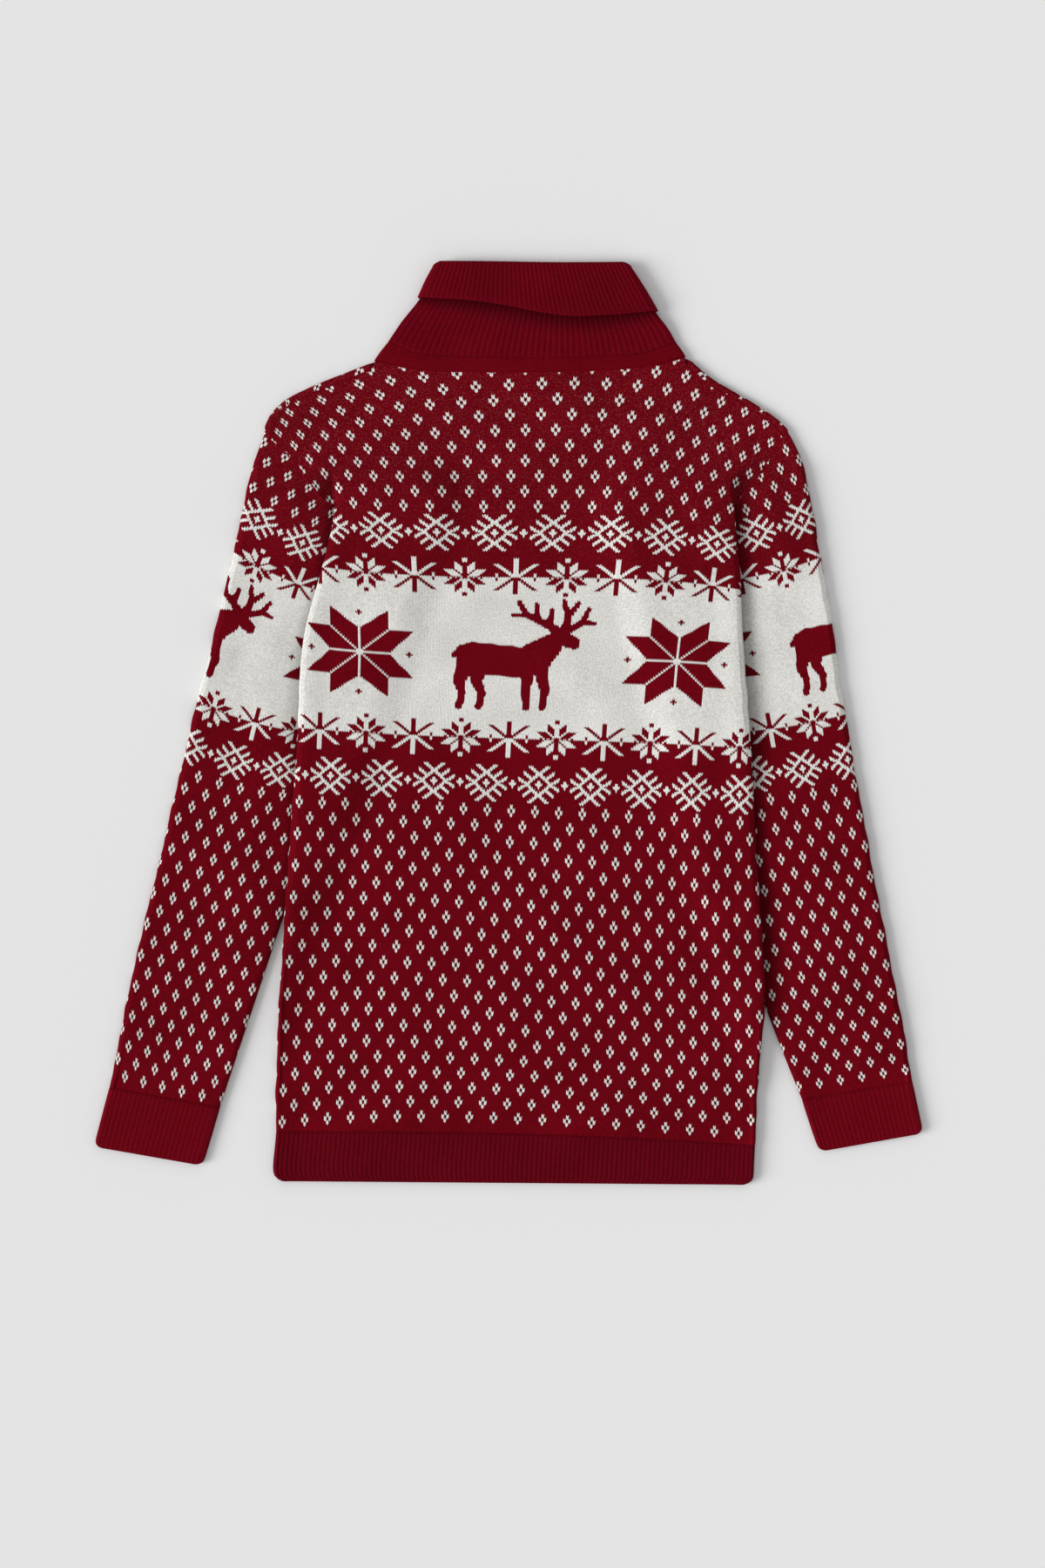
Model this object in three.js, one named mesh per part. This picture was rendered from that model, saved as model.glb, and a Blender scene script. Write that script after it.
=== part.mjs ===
import * as THREE from 'three';

// A Christmas sweater laid flat with its back up.
// Millimetres: +X right, +Y towards the collar, +Z up from the surface it lies on.

const wall = 2.4;
const layerGap = 0.6;
const flatHeight = 2 * wall + layerGap;
const seamGap = 0.3;
const sideSwell = 1.6;
const sideSwellReach = 24;
const overSleeve = flatHeight + 0.3;
const rampNear = 10;
const rampFar = 46;
const underarmY = 184;
const hemTopY = -347;
const hemBottomY = -391;
const hemTilt = 3;
const hemSag = 12;
const hemSagReach = 130;
const hemCorner = 8;
const shoulderWrap = 6;
const ribHeight = 0.6;
const hemRibs = 102;
const cuffRibs = 23;
const cuffCorner = 8;
const collarRibs = 46;
const collarTopY = 390.4;
const frontNeckDrop = 38;

// Sides of the body by height: where the back folds over to the front.
const bodySides = [
  { y: -392, left: -199.9, right: 207.8 },
  { y: -377, left: -199.8, right: 208.1 },
  { y: -347, left: -197.2, right: 209.6 },
  { y: -317, left: -197.6, right: 211.1 },
  { y: -272, left: -196.2, right: 214.3 },
  { y: -236, left: -194.5, right: 217.2 },
  { y: -206, left: -192.4, right: 216.6 },
  { y: -170, left: -190.2, right: 214.2 },
  { y: -140, left: -188.2, right: 212.2 },
  { y: -95, left: -185, right: 209 },
  { y: -34, left: -180.4, right: 206.2 },
  { y: 3, left: -178, right: 203.5 },
  { y: 46, left: -176.4, right: 200.4 },
  { y: 81, left: -171.7, right: 198 },
  { y: 128, left: -158.8, right: 196.2 },
  { y: 150, left: -153.1, right: 193.4 },
  { y: 172, left: -148.4, right: 192.2 },
  { y: 184, left: -147.4, right: 191.7 },
];

// Armhole seams from underarm to shoulder tip.
const armholes = [
  { at: 0, leftX: -149, leftY: 184, rightX: 192.4, rightY: 184 },
  { at: 0.1, leftX: -156.9, leftY: 188.7, rightX: 196.6, rightY: 188.8 },
  { at: 0.2, leftX: -162.8, leftY: 195.4, rightX: 201.3, rightY: 194.6 },
  { at: 0.35, leftX: -170.2, leftY: 205, rightX: 208, rightY: 202.6 },
  { at: 0.5, leftX: -177.6, leftY: 214.6, rightX: 214.4, rightY: 212.4 },
  { at: 0.65, leftX: -185, leftY: 224, rightX: 220.6, rightY: 223.2 },
  { at: 0.8, leftX: -193.4, leftY: 231.9, rightX: 227.2, rightY: 233.6 },
  { at: 1, leftX: -207.6, leftY: 243.5, rightX: 236.6, rightY: 248.6 },
];

// Shoulder outlines from tip to neck.
const shoulders = [
  { at: 0, leftX: -207.6, leftY: 243.5, rightX: 236.6, rightY: 248.6 },
  { at: 0.08, leftX: -206.4, leftY: 252.6, rightX: 231.2, rightY: 254.6 },
  { at: 0.2, leftX: -200.4, leftY: 263.2, rightX: 220.5, rightY: 262.7 },
  { at: 0.35, leftX: -188.6, leftY: 274, rightX: 206.4, rightY: 271.8 },
  { at: 0.55, leftX: -166.4, leftY: 285.2, rightX: 188.6, rightY: 282 },
  { at: 0.75, leftX: -143.4, leftY: 294.5, rightX: 171.6, rightY: 292.4 },
  { at: 1, leftX: -117.4, leftY: 304.6, rightX: 153.6, rightY: 307.6 },
];

// Edges of both sleeves from shoulder tip and underarm (0) to the cuff seam (1).
const sleeveEdges = [
  { at: 0, leftOuter: -207.6, leftInner: -77, rightOuter: 236.6, rightInner: 112 },
  { at: 0.05, leftOuter: -217.6, leftInner: -85.4, rightOuter: 249.3, rightInner: 119 },
  { at: 0.1, leftOuter: -223.8, leftInner: -93.8, rightOuter: 255.4, rightInner: 125.6 },
  { at: 0.2, leftOuter: -236.1, leftInner: -110.6, rightOuter: 265.4, rightInner: 138.4 },
  { at: 0.3, leftOuter: -249.3, leftInner: -127.4, rightOuter: 274.8, rightInner: 150 },
  { at: 0.4, leftOuter: -263.3, leftInner: -144.2, rightOuter: 282.6, rightInner: 161.4 },
  { at: 0.5, leftOuter: -276.4, leftInner: -161, rightOuter: 291.9, rightInner: 173 },
  { at: 0.6, leftOuter: -289.5, leftInner: -177.8, rightOuter: 301.6, rightInner: 185 },
  { at: 0.7, leftOuter: -302.6, leftInner: -194.6, rightOuter: 311.7, rightInner: 197.2 },
  { at: 0.8, leftOuter: -316, leftInner: -211.4, rightOuter: 322.4, rightInner: 211 },
  { at: 0.9, leftOuter: -327.4, leftInner: -228.2, rightOuter: 333.2, rightInner: 229 },
  { at: 1, leftOuter: -338.6, leftInner: -244.9, rightOuter: 342.6, rightInner: 249.1 },
];

// Heights of the sleeve edges' two ends, and of the hidden part of each armhole.
const sleeveEnds = {
  left: { outerTop: 243.5, outerEnd: -309.3, innerTop: 177, innerEnd: -326.3, bulge: 5 },
  right: { outerTop: 248.6, outerEnd: -304.9, innerTop: 177, innerEnd: -320.4, bulge: 6 },
};

// Cuff corners: at the seam and at the open end.
const cuffs = {
  left: {
    outer: { x: -338.6, y: -309.3 },
    inner: { x: -244.9, y: -326.3 },
    outerEnd: { x: -352, y: -360.2 },
    innerEnd: { x: -259.6, y: -376.4 },
  },
  right: {
    outer: { x: 342.6, y: -304.9 },
    inner: { x: 249.1, y: -320.4 },
    outerEnd: { x: 352, y: -348.8 },
    innerEnd: { x: 263.2, y: -364.6 },
  },
};

// Level lines of the collar across the back: turned-down edge, end of the ribs, neck seam.
const collarLines = [
  { at: 0, freeEdge: 359.6, ribEnd: 321.9, seam: 306.4 },
  { at: 0.1, freeEdge: 358.2, ribEnd: 312.6, seam: 300.6 },
  { at: 0.2, freeEdge: 357, ribEnd: 310.2, seam: 297.9 },
  { at: 0.35, freeEdge: 352.8, ribEnd: 309.2, seam: 297 },
  { at: 0.5, freeEdge: 346.8, ribEnd: 308.6, seam: 296.7 },
  { at: 0.65, freeEdge: 342.9, ribEnd: 309.2, seam: 297.6 },
  { at: 0.8, freeEdge: 343.9, ribEnd: 310.8, seam: 299.6 },
  { at: 0.9, freeEdge: 345.4, ribEnd: 313, seam: 302.6 },
  { at: 1, freeEdge: 347.8, ribEnd: 321.2, seam: 309.6 },
];

// Sides of the collar at those lines and at the fold.
const collarSides = {
  fold: { left: -64.6, right: 103.8 },
  freeEdge: { left: -77.6, right: 127.6 },
  ribEnd: { left: -102.9, right: 142.8 },
  seam: { left: -114.4, right: 150.6 },
};

const colours = {
  red: '#6a0c17',
  hem: '#580a14',
  cuff: '#5c0a15',
  collar: '#5e0913',
  neck: '#620815',
};

const clamp = (value, low = 0, high = 1) => Math.min(Math.max(value, low), high);
const mix = (from, to, share) => from + (to - from) * share;
const ease = (value) => clamp(value) ** 2 * (3 - 2 * clamp(value));
const step = (from, to, value) => ease((value - from) / (to - from));
const turn = (degrees) => (degrees * Math.PI) / 180;
const spread = (count, from = 0, to = 1) =>
  Array.from({ length: count + 1 }, (_, k) => mix(from, to, k / count));

// A column of a table at any key, drawn smoothly through its rows.
function read(table, key, column, at) {
  const last = table.length - 1;
  let k = 0;
  while (k < last - 1 && at > table[k + 1][key]) k += 1;
  const rise = (i) => {
    const before = table[Math.max(i - 1, 0)];
    const after = table[Math.min(i + 1, last)];
    return (after[column] - before[column]) / (after[key] - before[key]);
  };
  const low = table[k];
  const high = table[k + 1];
  const span = high[key] - low[key];
  const t = clamp((at - low[key]) / span);
  const s = ease(t);
  const pull = t * (1 - t) * span;
  return mix(low[column], high[column], s) + pull * ((1 - t) * rise(k) - t * rise(k + 1));
}

const armhole = (side, at) => ({
  x: read(armholes, 'at', `${side}X`, at),
  y: read(armholes, 'at', `${side}Y`, at),
});

const shoulder = (side, at) => ({
  x: read(shoulders, 'at', `${side}X`, at),
  y: read(shoulders, 'at', `${side}Y`, at),
});

const moved = (point, direction, distance) => ({
  x: point.x + direction.x * distance,
  y: point.y + direction.y * distance,
});

const towards = (from, to) => {
  const length = Math.hypot(to.x - from.x, to.y - from.y);
  return { x: (to.x - from.x) / length, y: (to.y - from.y) / length };
};

// Rise of the body where a sleeve passes beneath it.
function liftOnSide(side, x, y) {
  const out = side === 'left' ? -1 : 1;
  const ends = sleeveEnds[side];
  const along = clamp((ends.innerTop - y) / (ends.innerTop - ends.innerEnd));
  const inner = read(sleeveEdges, 'at', `${side}Inner`, along);
  const sideways = Math.max((inner - x) * out * 0.96, 0);
  const upward = Math.max(y - underarmY, 0);
  return 1 - step(rampNear, rampFar, Math.hypot(sideways, upward));
}

function lift(x, y) {
  return overSleeve * Math.max(liftOnSide('left', x, y), liftOnSide('right', x, y));
}

// Swelling of the body's thickness along its side folds.
function swell(x, y) {
  const left = read(bodySides, 'y', 'left', y);
  const right = read(bodySides, 'y', 'right', y);
  const reach = Math.max(Math.min(x - left, right - x), 0);
  return sideSwell * (1 - ease(reach / sideSwellReach)) * step(underarmY, underarmY - 50, y);
}

const shoulderShare = 0.2;
const cornerShare = 0.008;
const neckShares = [0.014, 0.07, 0.14, 0.24, 0.38, 0.5, 0.62, 0.76, 0.86, 0.93, 0.986];
const bodyColumns = [
  ...spread(4, 0, shoulderShare - cornerShare),
  shoulderShare,
  ...neckShares.map((at) => mix(shoulderShare, 1 - shoulderShare, at)),
  1 - shoulderShare,
  ...spread(4, 1 - shoulderShare + cornerShare, 1),
];
const straightRows = [-310, -270, -232, -190, -148, -100, -50, 0, 50, 96, 132, 160, 176];
const yokeRows = [0, 0.1, 0.2, 0.35, 0.5, 0.65, 0.8, 0.92];

// A panel's edge along an armhole, at a share of the way up from the underarm.
function armholeEdge(side, at) {
  const inward = side === 'left' ? { x: 0.7, y: 0.7 } : { x: -0.8, y: 0.6 };
  return moved(armhole(side, at), inward, seamGap / 2);
}

// How far a step in from the shoulder's outline runs along the armhole at its tip.
const tipSlant = 1.3;
const armholeLength = 91;

// Direction from the shoulder's outline into the panel.
function shoulderInward(side, at) {
  const ahead = shoulder(side, Math.min(at + 0.06, 1));
  const behind = shoulder(side, Math.max(at - 0.06, 0));
  const edge = towards(behind, ahead);
  const inward = side === 'left' ? { x: edge.y, y: -edge.x } : { x: -edge.y, y: edge.x };
  const seam = towards(armhole(side, 1), armhole(side, 0.9));
  const share = clamp(1 - at / 0.2);
  return {
    x: mix(inward.x, seam.x * tipSlant, share),
    y: mix(inward.y, seam.y * tipSlant, share),
  };
}

// A point set back from the shoulder's outline, on the armhole at the tip itself.
function shoulderEdge(side, at, setBack) {
  const free = moved(shoulder(side, at), shoulderInward(side, at), setBack);
  const tip = moved(shoulder(side, 0), shoulderInward(side, 0), setBack);
  const onSeam = armholeEdge(side, 1 - (tipSlant * setBack) / armholeLength);
  const share = clamp(1 - at / 0.2);
  return {
    x: free.x + (onSeam.x - tip.x) * share,
    y: free.y + (onSeam.y - tip.y) * share,
  };
}

// Top edge of a panel: shoulder, neck and shoulder, set back from the outline.
function topEdge(u, setBack, neckDrop) {
  if (u <= shoulderShare || u >= 1 - shoulderShare) {
    const side = u <= shoulderShare ? 'left' : 'right';
    const at = (side === 'left' ? u : 1 - u) / shoulderShare;
    return shoulderEdge(side, at, setBack);
  }
  const at = (u - shoulderShare) / (1 - 2 * shoulderShare);
  const seam = read(collarLines, 'at', 'seam', at);
  const clearance = neckDrop > 0 ? 2 * seamGap : seamGap;
  return {
    x: mix(collarSides.seam.left, collarSides.seam.right, at),
    y: seam - clearance - neckDrop * frontDip(at),
  };
}

const frontDip = (at) => (1 - (2 * at - 1) ** 2) ** 1.2;

// The right side has stretched: how far it hangs below the left towards the hem.
const sag = (u, y) => hemSag * u ** 2.6 * step(hemTopY + hemSagReach, hemTopY, y);

// Plan of a panel: straight across below the underarm, then an arch between the armholes.
function panelPoint(u, row, setBack, neckDrop) {
  if (row.y !== undefined) {
    const y = row.y - sag(u, row.y);
    const left = read(bodySides, 'y', 'left', y);
    const right = read(bodySides, 'y', 'right', y);
    return { x: mix(left, right, u), y };
  }
  const v = row.yoke;
  const reach = 1 - (tipSlant * setBack) / armholeLength;
  const low = { x: mix(armhole('left', 0).x + 1.6, armhole('right', 0).x - 1.6, u), y: underarmY };
  const high = topEdge(u, setBack, neckDrop);
  const left = armholeEdge('left', v * reach);
  const right = armholeEdge('right', v * reach);
  const cornerLow = mix(armhole('left', 0).x, armhole('right', 0).x, u);
  const cornerLeft = topEdge(0, setBack, neckDrop);
  const cornerRight = topEdge(1, setBack, neckDrop);
  return {
    x: mix(low.x, high.x, v) + mix(left.x, right.x, u)
      - mix(cornerLow, mix(cornerLeft.x, cornerRight.x, u), v),
    y: mix(low.y, high.y, v) + mix(left.y, right.y, u)
      - mix(underarmY, mix(cornerLeft.y, cornerRight.y, u), v),
  };
}

// Rise of the body at a point, falling to the sleeve's level along an armhole seam.
function panelLift(point, row) {
  if (row.y !== undefined || row.yoke === 0) return lift(point.x, point.y);
  const left = armhole('left', row.yoke);
  const right = armhole('right', row.yoke);
  const reach = Math.min(point.x - left.x, right.x - point.x);
  return lift(point.x, point.y) * step(1, 10, reach);
}

// A closed solid gathered from shared points and triangles.
function makeSolid(name, colour) {
  return { name, colour, places: [], faces: [] };
}

function addPoints(solid, points) {
  return points.map((point) => {
    solid.places.push(point.x, point.y, point.z);
    return solid.places.length / 3 - 1;
  });
}

// Triangles between two lines of points that need not have the same number.
function zip(solid, near, far, positionsNear, positionsFar) {
  let i = 0;
  let j = 0;
  while (i < near.length - 1 || j < far.length - 1) {
    const nextNear = i < near.length - 1 ? positionsNear[i + 1] : Infinity;
    const nextFar = j < far.length - 1 ? positionsFar[j + 1] : Infinity;
    if (nextNear <= nextFar) {
      solid.faces.push(near[i], near[i + 1], far[j]);
      i += 1;
    } else {
      solid.faces.push(near[i], far[j + 1], far[j]);
      j += 1;
    }
  }
}

function finish(solid) {
  const geometry = new THREE.BufferGeometry();
  const places = solid.places;
  let volume = 0;
  for (let k = 0; k < solid.faces.length; k += 3) {
    const [a, b, c] = solid.faces.slice(k, k + 3).map((i) =>
      new THREE.Vector3(places[3 * i], places[3 * i + 1], places[3 * i + 2]));
    volume += a.dot(b.cross(c));
  }
  const faces = volume > 0 ? solid.faces : solid.faces.toReversed();
  geometry.setAttribute('position', new THREE.Float32BufferAttribute(places, 3));
  geometry.setIndex(faces);
  geometry.computeVertexNormals();
  const material = new THREE.MeshStandardMaterial({
    color: solid.colour,
    roughness: 0.94,
    metalness: 0,
  });
  const mesh = new THREE.Mesh(geometry, material);
  mesh.name = solid.name;
  return mesh;
}

// A wall between an outer and an inner sheet with the same number of rows.
function sheetWall(name, colour, rows) {
  const solid = makeSolid(name, colour);
  const outer = rows.map((row) => addPoints(solid, row.outer.points));
  const inner = rows.map((row) => addPoints(solid, row.inner.points));
  const last = rows.length - 1;
  for (let k = 0; k < last; k += 1) {
    zip(solid, outer[k], outer[k + 1], rows[k].outer.at, rows[k + 1].outer.at);
    zip(solid, inner[k + 1], inner[k], rows[k + 1].inner.at, rows[k].inner.at);
    zip(solid, [outer[k][0], outer[k + 1][0]], [inner[k][0], inner[k + 1][0]], [0, 1], [0, 1]);
    zip(
      solid,
      [outer[k + 1].at(-1), outer[k].at(-1)],
      [inner[k + 1].at(-1), inner[k].at(-1)],
      [0, 1],
      [0, 1],
    );
  }
  zip(solid, inner[0], outer[0], rows[0].inner.at, rows[0].outer.at);
  zip(solid, outer[last], inner[last], rows[last].outer.at, rows[last].inner.at);
  return finish(solid);
}

// A solid through closed rings, the last of which meets the first.
function ringWall(name, colour, rings) {
  const solid = makeSolid(name, colour);
  const loops = rings.map((ring) => {
    const ids = addPoints(solid, ring.points);
    return [...ids, ids[0]];
  });
  rings.forEach((ring, k) => {
    const next = (k + 1) % rings.length;
    zip(solid, loops[k], loops[next], [...ring.at, 1], [...rings[next].at, 1]);
  });
  return finish(solid);
}

const arcAngles = [0, 30, 60, 90];
const arcShare = 0.004;

// One row of a panel with its two side edges rounded over, or cut where they meet a sleeve.
function panelRow(plan, columns, fold, heights) {
  const first = plan(0);
  const last = plan(1);
  const inLeft = towards(first, plan(0.04));
  const inRight = towards(last, plan(0.96));
  const outer = { at: [], points: [] };
  const inner = { at: [], points: [] };
  const put = (sheet, at, point, z) => {
    sheet.at.push(at);
    sheet.points.push({ x: point.x, y: point.y, z });
  };
  const sides = [
    { edge: first, inward: inLeft, start: 0, sign: 1, angles: arcAngles },
    { edge: last, inward: inRight, start: 1, sign: -1, angles: [...arcAngles].reverse() },
  ];
  const addSide = (side) => {
    const { height, base } = heights(side.edge);
    const across = mix(0.8, height / 2, fold);
    const down = mix(0.5, height / 2 - seamGap / 2, fold);
    const back = wall * fold;
    side.angles.forEach((angle) => {
      const flatness = 1 - Math.cos(turn(angle));
      const drop = 1 - Math.sin(turn(angle));
      const at = side.start + side.sign * arcShare * (angle / 90);
      const place = moved(side.edge, side.inward, across * flatness);
      put(outer, at, place, base + side.facing(height, down * drop));
    });
    const radius = Math.max(across - back, 0.3);
    [0, 90].forEach((_, k) => {
      const angle = side.angles[k * 3];
      const flatness = 1 - Math.cos(turn(angle));
      const drop = 1 - Math.sin(turn(angle));
      const at = side.start + side.sign * arcShare * (angle / 90);
      const place = moved(side.edge, side.inward, back + radius * flatness);
      const fall = Math.max(down - wall, 0.05) * fold * drop;
      put(inner, at, place, base + side.facing(height, wall + fall));
    });
  };
  const facing = heights(first).facing;
  sides.forEach((side) => {
    side.facing = facing;
  });
  addSide(sides[0]);
  columns.outer.forEach((column) => {
    const place = plan(column.u);
    const { height, base } = heights(place);
    put(outer, column.u, place, base + facing(height, -column.rib));
  });
  columns.inner.forEach((column) => {
    const place = plan(column.u);
    const { height, base } = heights(place);
    put(inner, column.u, place, base + facing(height, wall));
  });
  addSide(sides[1]);
  return { outer, inner };
}

const plainColumns = (values) => values.slice(1, -1).map((u) => ({ u, rib: 0 }));
const fromTop = (height, depth) => height - depth;
const fromBottom = (height, depth) => depth;

function panelHeights(row, facing) {
  return (point) => ({
    height: flatHeight + swell(point.x, point.y),
    base: panelLift(point, row),
    facing,
  });
}

function backPanel() {
  const plain = plainColumns(bodyColumns);
  const columns = { outer: plain, inner: plain };
  const rows = [
    { y: hemTopY + seamGap / 2 },
    ...straightRows.map((y) => ({ y })),
    ...[...yokeRows, 1].map((yoke) => ({ yoke })),
  ];
  return sheetWall('back_panel', colours.red, rows.map((row) => {
    const plan = (u) => panelPoint(u, row, shoulderWrap, 0);
    const fold = row.yoke > 0 ? 0 : 1;
    return panelRow(plan, columns, fold, panelHeights(row, fromTop));
  }));
}

// The front turns up round each shoulder and ends on the back at the shoulder seam.
const wrapStages = [
  { angle: 45, ahead: 0 },
  { angle: 90, ahead: 0 },
  { angle: 135, ahead: 0 },
  { angle: 180, ahead: 0 },
  { angle: 180, ahead: 1 },
];

function frontPanel() {
  const plain = plainColumns(bodyColumns);
  const columns = { outer: plain, inner: plain };
  const radius = flatHeight / 2;
  const rows = [
    { y: hemTopY + seamGap / 2 },
    ...straightRows.map((y) => ({ y })),
    ...[...yokeRows, 1].map((yoke) => ({ yoke })),
  ];
  const walls = rows.map((row) => {
    const plan = (u) => panelPoint(u, row, radius, frontNeckDrop);
    const fold = row.yoke > 0 ? 0 : 1;
    return panelRow(plan, columns, fold, panelHeights(row, fromBottom));
  });
  const top = walls.at(-1);
  const strip = shoulderWrap - seamGap - radius;
  const wrapSheet = (sheet, depth, stage, k) => ({
    at: sheet.at,
    points: sheet.points.map((point, i) => {
      const u = clamp(sheet.at[i]);
      const onShoulder = Math.min(u, 1 - u) < shoulderShare - cornerShare / 2;
      if (!onShoulder) {
        return { x: point.x, y: point.y + (k + 1) * 0.06, z: point.z };
      }
      const side = u <= 0.5 ? 'left' : 'right';
      const at = clamp((side === 'left' ? u : 1 - u) / shoulderShare);
      const inward = shoulderInward(side, at);
      const bend = radius - depth;
      const reach = -bend * Math.sin(turn(stage.angle)) + stage.ahead * strip;
      const place = moved(point, inward, reach);
      return { x: place.x, y: place.y, z: radius - bend * Math.cos(turn(stage.angle)) };
    }),
  });
  const wraps = wrapStages.map((stage, k) => ({
    outer: wrapSheet(top.outer, 0, stage, k),
    inner: wrapSheet(top.inner, wall, stage, k),
  }));
  return sheetWall('front_panel', colours.red, [...walls, ...wraps]);
}

// Rib columns across a width: a groove, then two points on the rib's crest.
function ribColumns(count, from, to) {
  const pitch = (to - from) / count;
  const columns = [];
  for (let k = 0; k < count; k += 1) {
    const start = from + k * pitch;
    columns.push({ u: start, rib: 0 });
    columns.push({ u: start + pitch * 0.3, rib: ribHeight });
    columns.push({ u: start + pitch * 0.7, rib: ribHeight });
  }
  columns.push({ u: to, rib: 0 });
  return columns;
}

// The rounded lower corner: how far an open end rises near its side.
function cornerRise(distance, size) {
  const inside = clamp(1 - distance / size);
  return size * 0.72 * (1 - Math.sqrt(1 - inside ** 2));
}

function hemRib(name, facing, ribbed) {
  const columns = {
    outer: ribbed ? ribColumns(hemRibs, 0.016, 0.984) : plainColumns(bodyColumns),
    inner: plainColumns(bodyColumns),
  };
  const rows = [0, 0.8, 0.93, 1].map((down) => {
    const plan = (u) => {
      const bottom = hemBottomY - hemTilt * (u - 0.5);
      const y = mix(hemTopY - seamGap / 2 - sag(u, hemTopY), bottom, down);
      const pull = hemCorner * down ** 14;
      const left = read(bodySides, 'y', 'left', y) + pull;
      const right = read(bodySides, 'y', 'right', y) - pull;
      return { x: mix(left, right, u), y };
    };
    const heights = (point) => ({
      height: flatHeight + swell(point.x, point.y),
      base: 0,
      facing,
    });
    return panelRow(plan, columns, 1, heights);
  });
  return sheetWall(name, colours.hem, rows);
}

// One ring of a flattened tube: top from its first side to the second, then back beneath.
function flatRing(section, depth, topColumns, bottomColumns, arc) {
  const ring = { at: [], points: [] };
  const put = (at, point, z) => {
    ring.at.push(at);
    ring.points.push({ x: point.x, y: point.y, z });
  };
  const startRadius = section.height(0) / 2;
  const endRadius = section.height(1) / 2;
  const start = section.plan(0);
  const end = section.plan(1);
  const inStart = towards(start, section.plan(0.05));
  const inEnd = towards(end, section.plan(0.95));
  topColumns.forEach((column) => {
    const z = section.height(column.u) - depth + column.rib;
    put(0.01 + 0.46 * column.u, section.plan(column.u), z);
  });
  arc.forEach((angle) => {
    const radius = endRadius - depth;
    const place = moved(end, inEnd, endRadius - radius * Math.cos(turn(angle)));
    put(0.475 + 0.02 * (90 - angle) / 180, place, endRadius + radius * Math.sin(turn(angle)));
  });
  [...bottomColumns].reverse().forEach((column) => {
    put(0.5 + 0.46 * (1 - column.u), section.plan(column.u), depth);
  });
  [...arc].reverse().forEach((angle) => {
    const radius = startRadius - depth;
    const place = moved(start, inStart, startRadius - radius * Math.cos(turn(angle)));
    const z = startRadius + radius * Math.sin(turn(angle));
    put(0.965 + 0.02 * (angle + 90) / 180, place, z);
  });
  return ring;
}

const outerArc = [90, 54, 18, -18, -54, -90];
const innerArc = [90, 0, -90];

function tube(name, colour, sections, outerTop, plain) {
  const outer = sections.map((section) => flatRing(section, 0, outerTop, plain, outerArc));
  const inner = sections.map((section) => flatRing(section, wall, plain, plain, innerArc));
  return ringWall(name, colour, [...outer, ...inner.reverse()]);
}

// First section of a sleeve: along the armhole, then hidden beneath the body to the underarm.
function sleeveHead(side, u) {
  const seen = 0.56;
  const away = side === 'left' ? { x: -0.7, y: -0.7 } : { x: 0.8, y: -0.6 };
  if (u <= seen) return moved(armhole(side, 1 - u / seen), away, seamGap / 2);
  const start = moved(armhole(side, 0), away, seamGap / 2);
  const ends = sleeveEnds[side];
  const inner = read(sleeveEdges, 'at', `${side}Inner`, 0);
  const t = (u - seen) / (1 - seen);
  return {
    x: mix(start.x, inner, t),
    y: mix(start.y, ends.innerTop, t) - ends.bulge * Math.sin(Math.PI * t) * (1 - t),
  };
}

function sleeveSwell(u, at) {
  return sideSwell * (1 - ease(u / 0.22)) * step(0, 0.12, at) * mix(1, 0.4, at);
}

function sleeve(side) {
  const ends = sleeveEnds[side];
  const stations = [0, 0.05, 0.1, 0.16, 0.23, 0.3, 0.38, 0.46, 0.54, 0.62, 0.7, 0.78, 0.86, 0.93, 1];
  const sections = stations.map((at) => {
    const close = at === 1 ? (seamGap / 2) / Math.abs(ends.outerTop - ends.outerEnd) : 0;
    const here = at - close;
    const outer = {
      x: read(sleeveEdges, 'at', `${side}Outer`, here),
      y: mix(ends.outerTop, ends.outerEnd, here),
    };
    const inner = {
      x: read(sleeveEdges, 'at', `${side}Inner`, here),
      y: mix(ends.innerTop, ends.innerEnd, here),
    };
    const headOuter = sleeveHead(side, 0);
    const headInner = sleeveHead(side, 1);
    const fade = (1 - at) ** 3;
    return {
      plan: (u) => {
        const head = sleeveHead(side, u);
        return {
          x: mix(outer.x, inner.x, u) + fade * (head.x - mix(headOuter.x, headInner.x, u)),
          y: mix(outer.y, inner.y, u) + fade * (head.y - mix(headOuter.y, headInner.y, u)),
        };
      },
      height: (u) => flatHeight + sleeveSwell(u, at),
    };
  });
  const plain = plainColumns(spread(12));
  return tube(`${side}_sleeve`, colours.red, sections, plain, plain);
}

function cuff(side) {
  const corners = cuffs[side];
  const sections = [0, 0.84, 1].map((down) => {
    const start = seamGap / 2 / Math.hypot(
      corners.outer.x - corners.outerEnd.x,
      corners.outer.y - corners.outerEnd.y,
    );
    const here = Math.max(down, start);
    const outer = {
      x: mix(corners.outer.x, corners.outerEnd.x, here),
      y: mix(corners.outer.y, corners.outerEnd.y, here),
    };
    const inner = {
      x: mix(corners.inner.x, corners.innerEnd.x, here),
      y: mix(corners.inner.y, corners.innerEnd.y, here),
    };
    const width = Math.hypot(outer.x - inner.x, outer.y - inner.y);
    const upward = towards(corners.outerEnd, corners.outer);
    return {
      plan: (u) => {
        const rise = down * cornerRise(width * Math.min(u, 1 - u), cuffCorner);
        return moved({ x: mix(outer.x, inner.x, u), y: mix(outer.y, inner.y, u) }, upward, rise);
      },
      height: (u) => flatHeight + sleeveSwell(u, 1),
    };
  });
  const ribbed = ribColumns(cuffRibs, 0.045, 0.955);
  const plain = plainColumns(spread(10));
  return tube(`${side}_cuff`, colours.cuff, sections, ribbed, plain);
}

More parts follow.
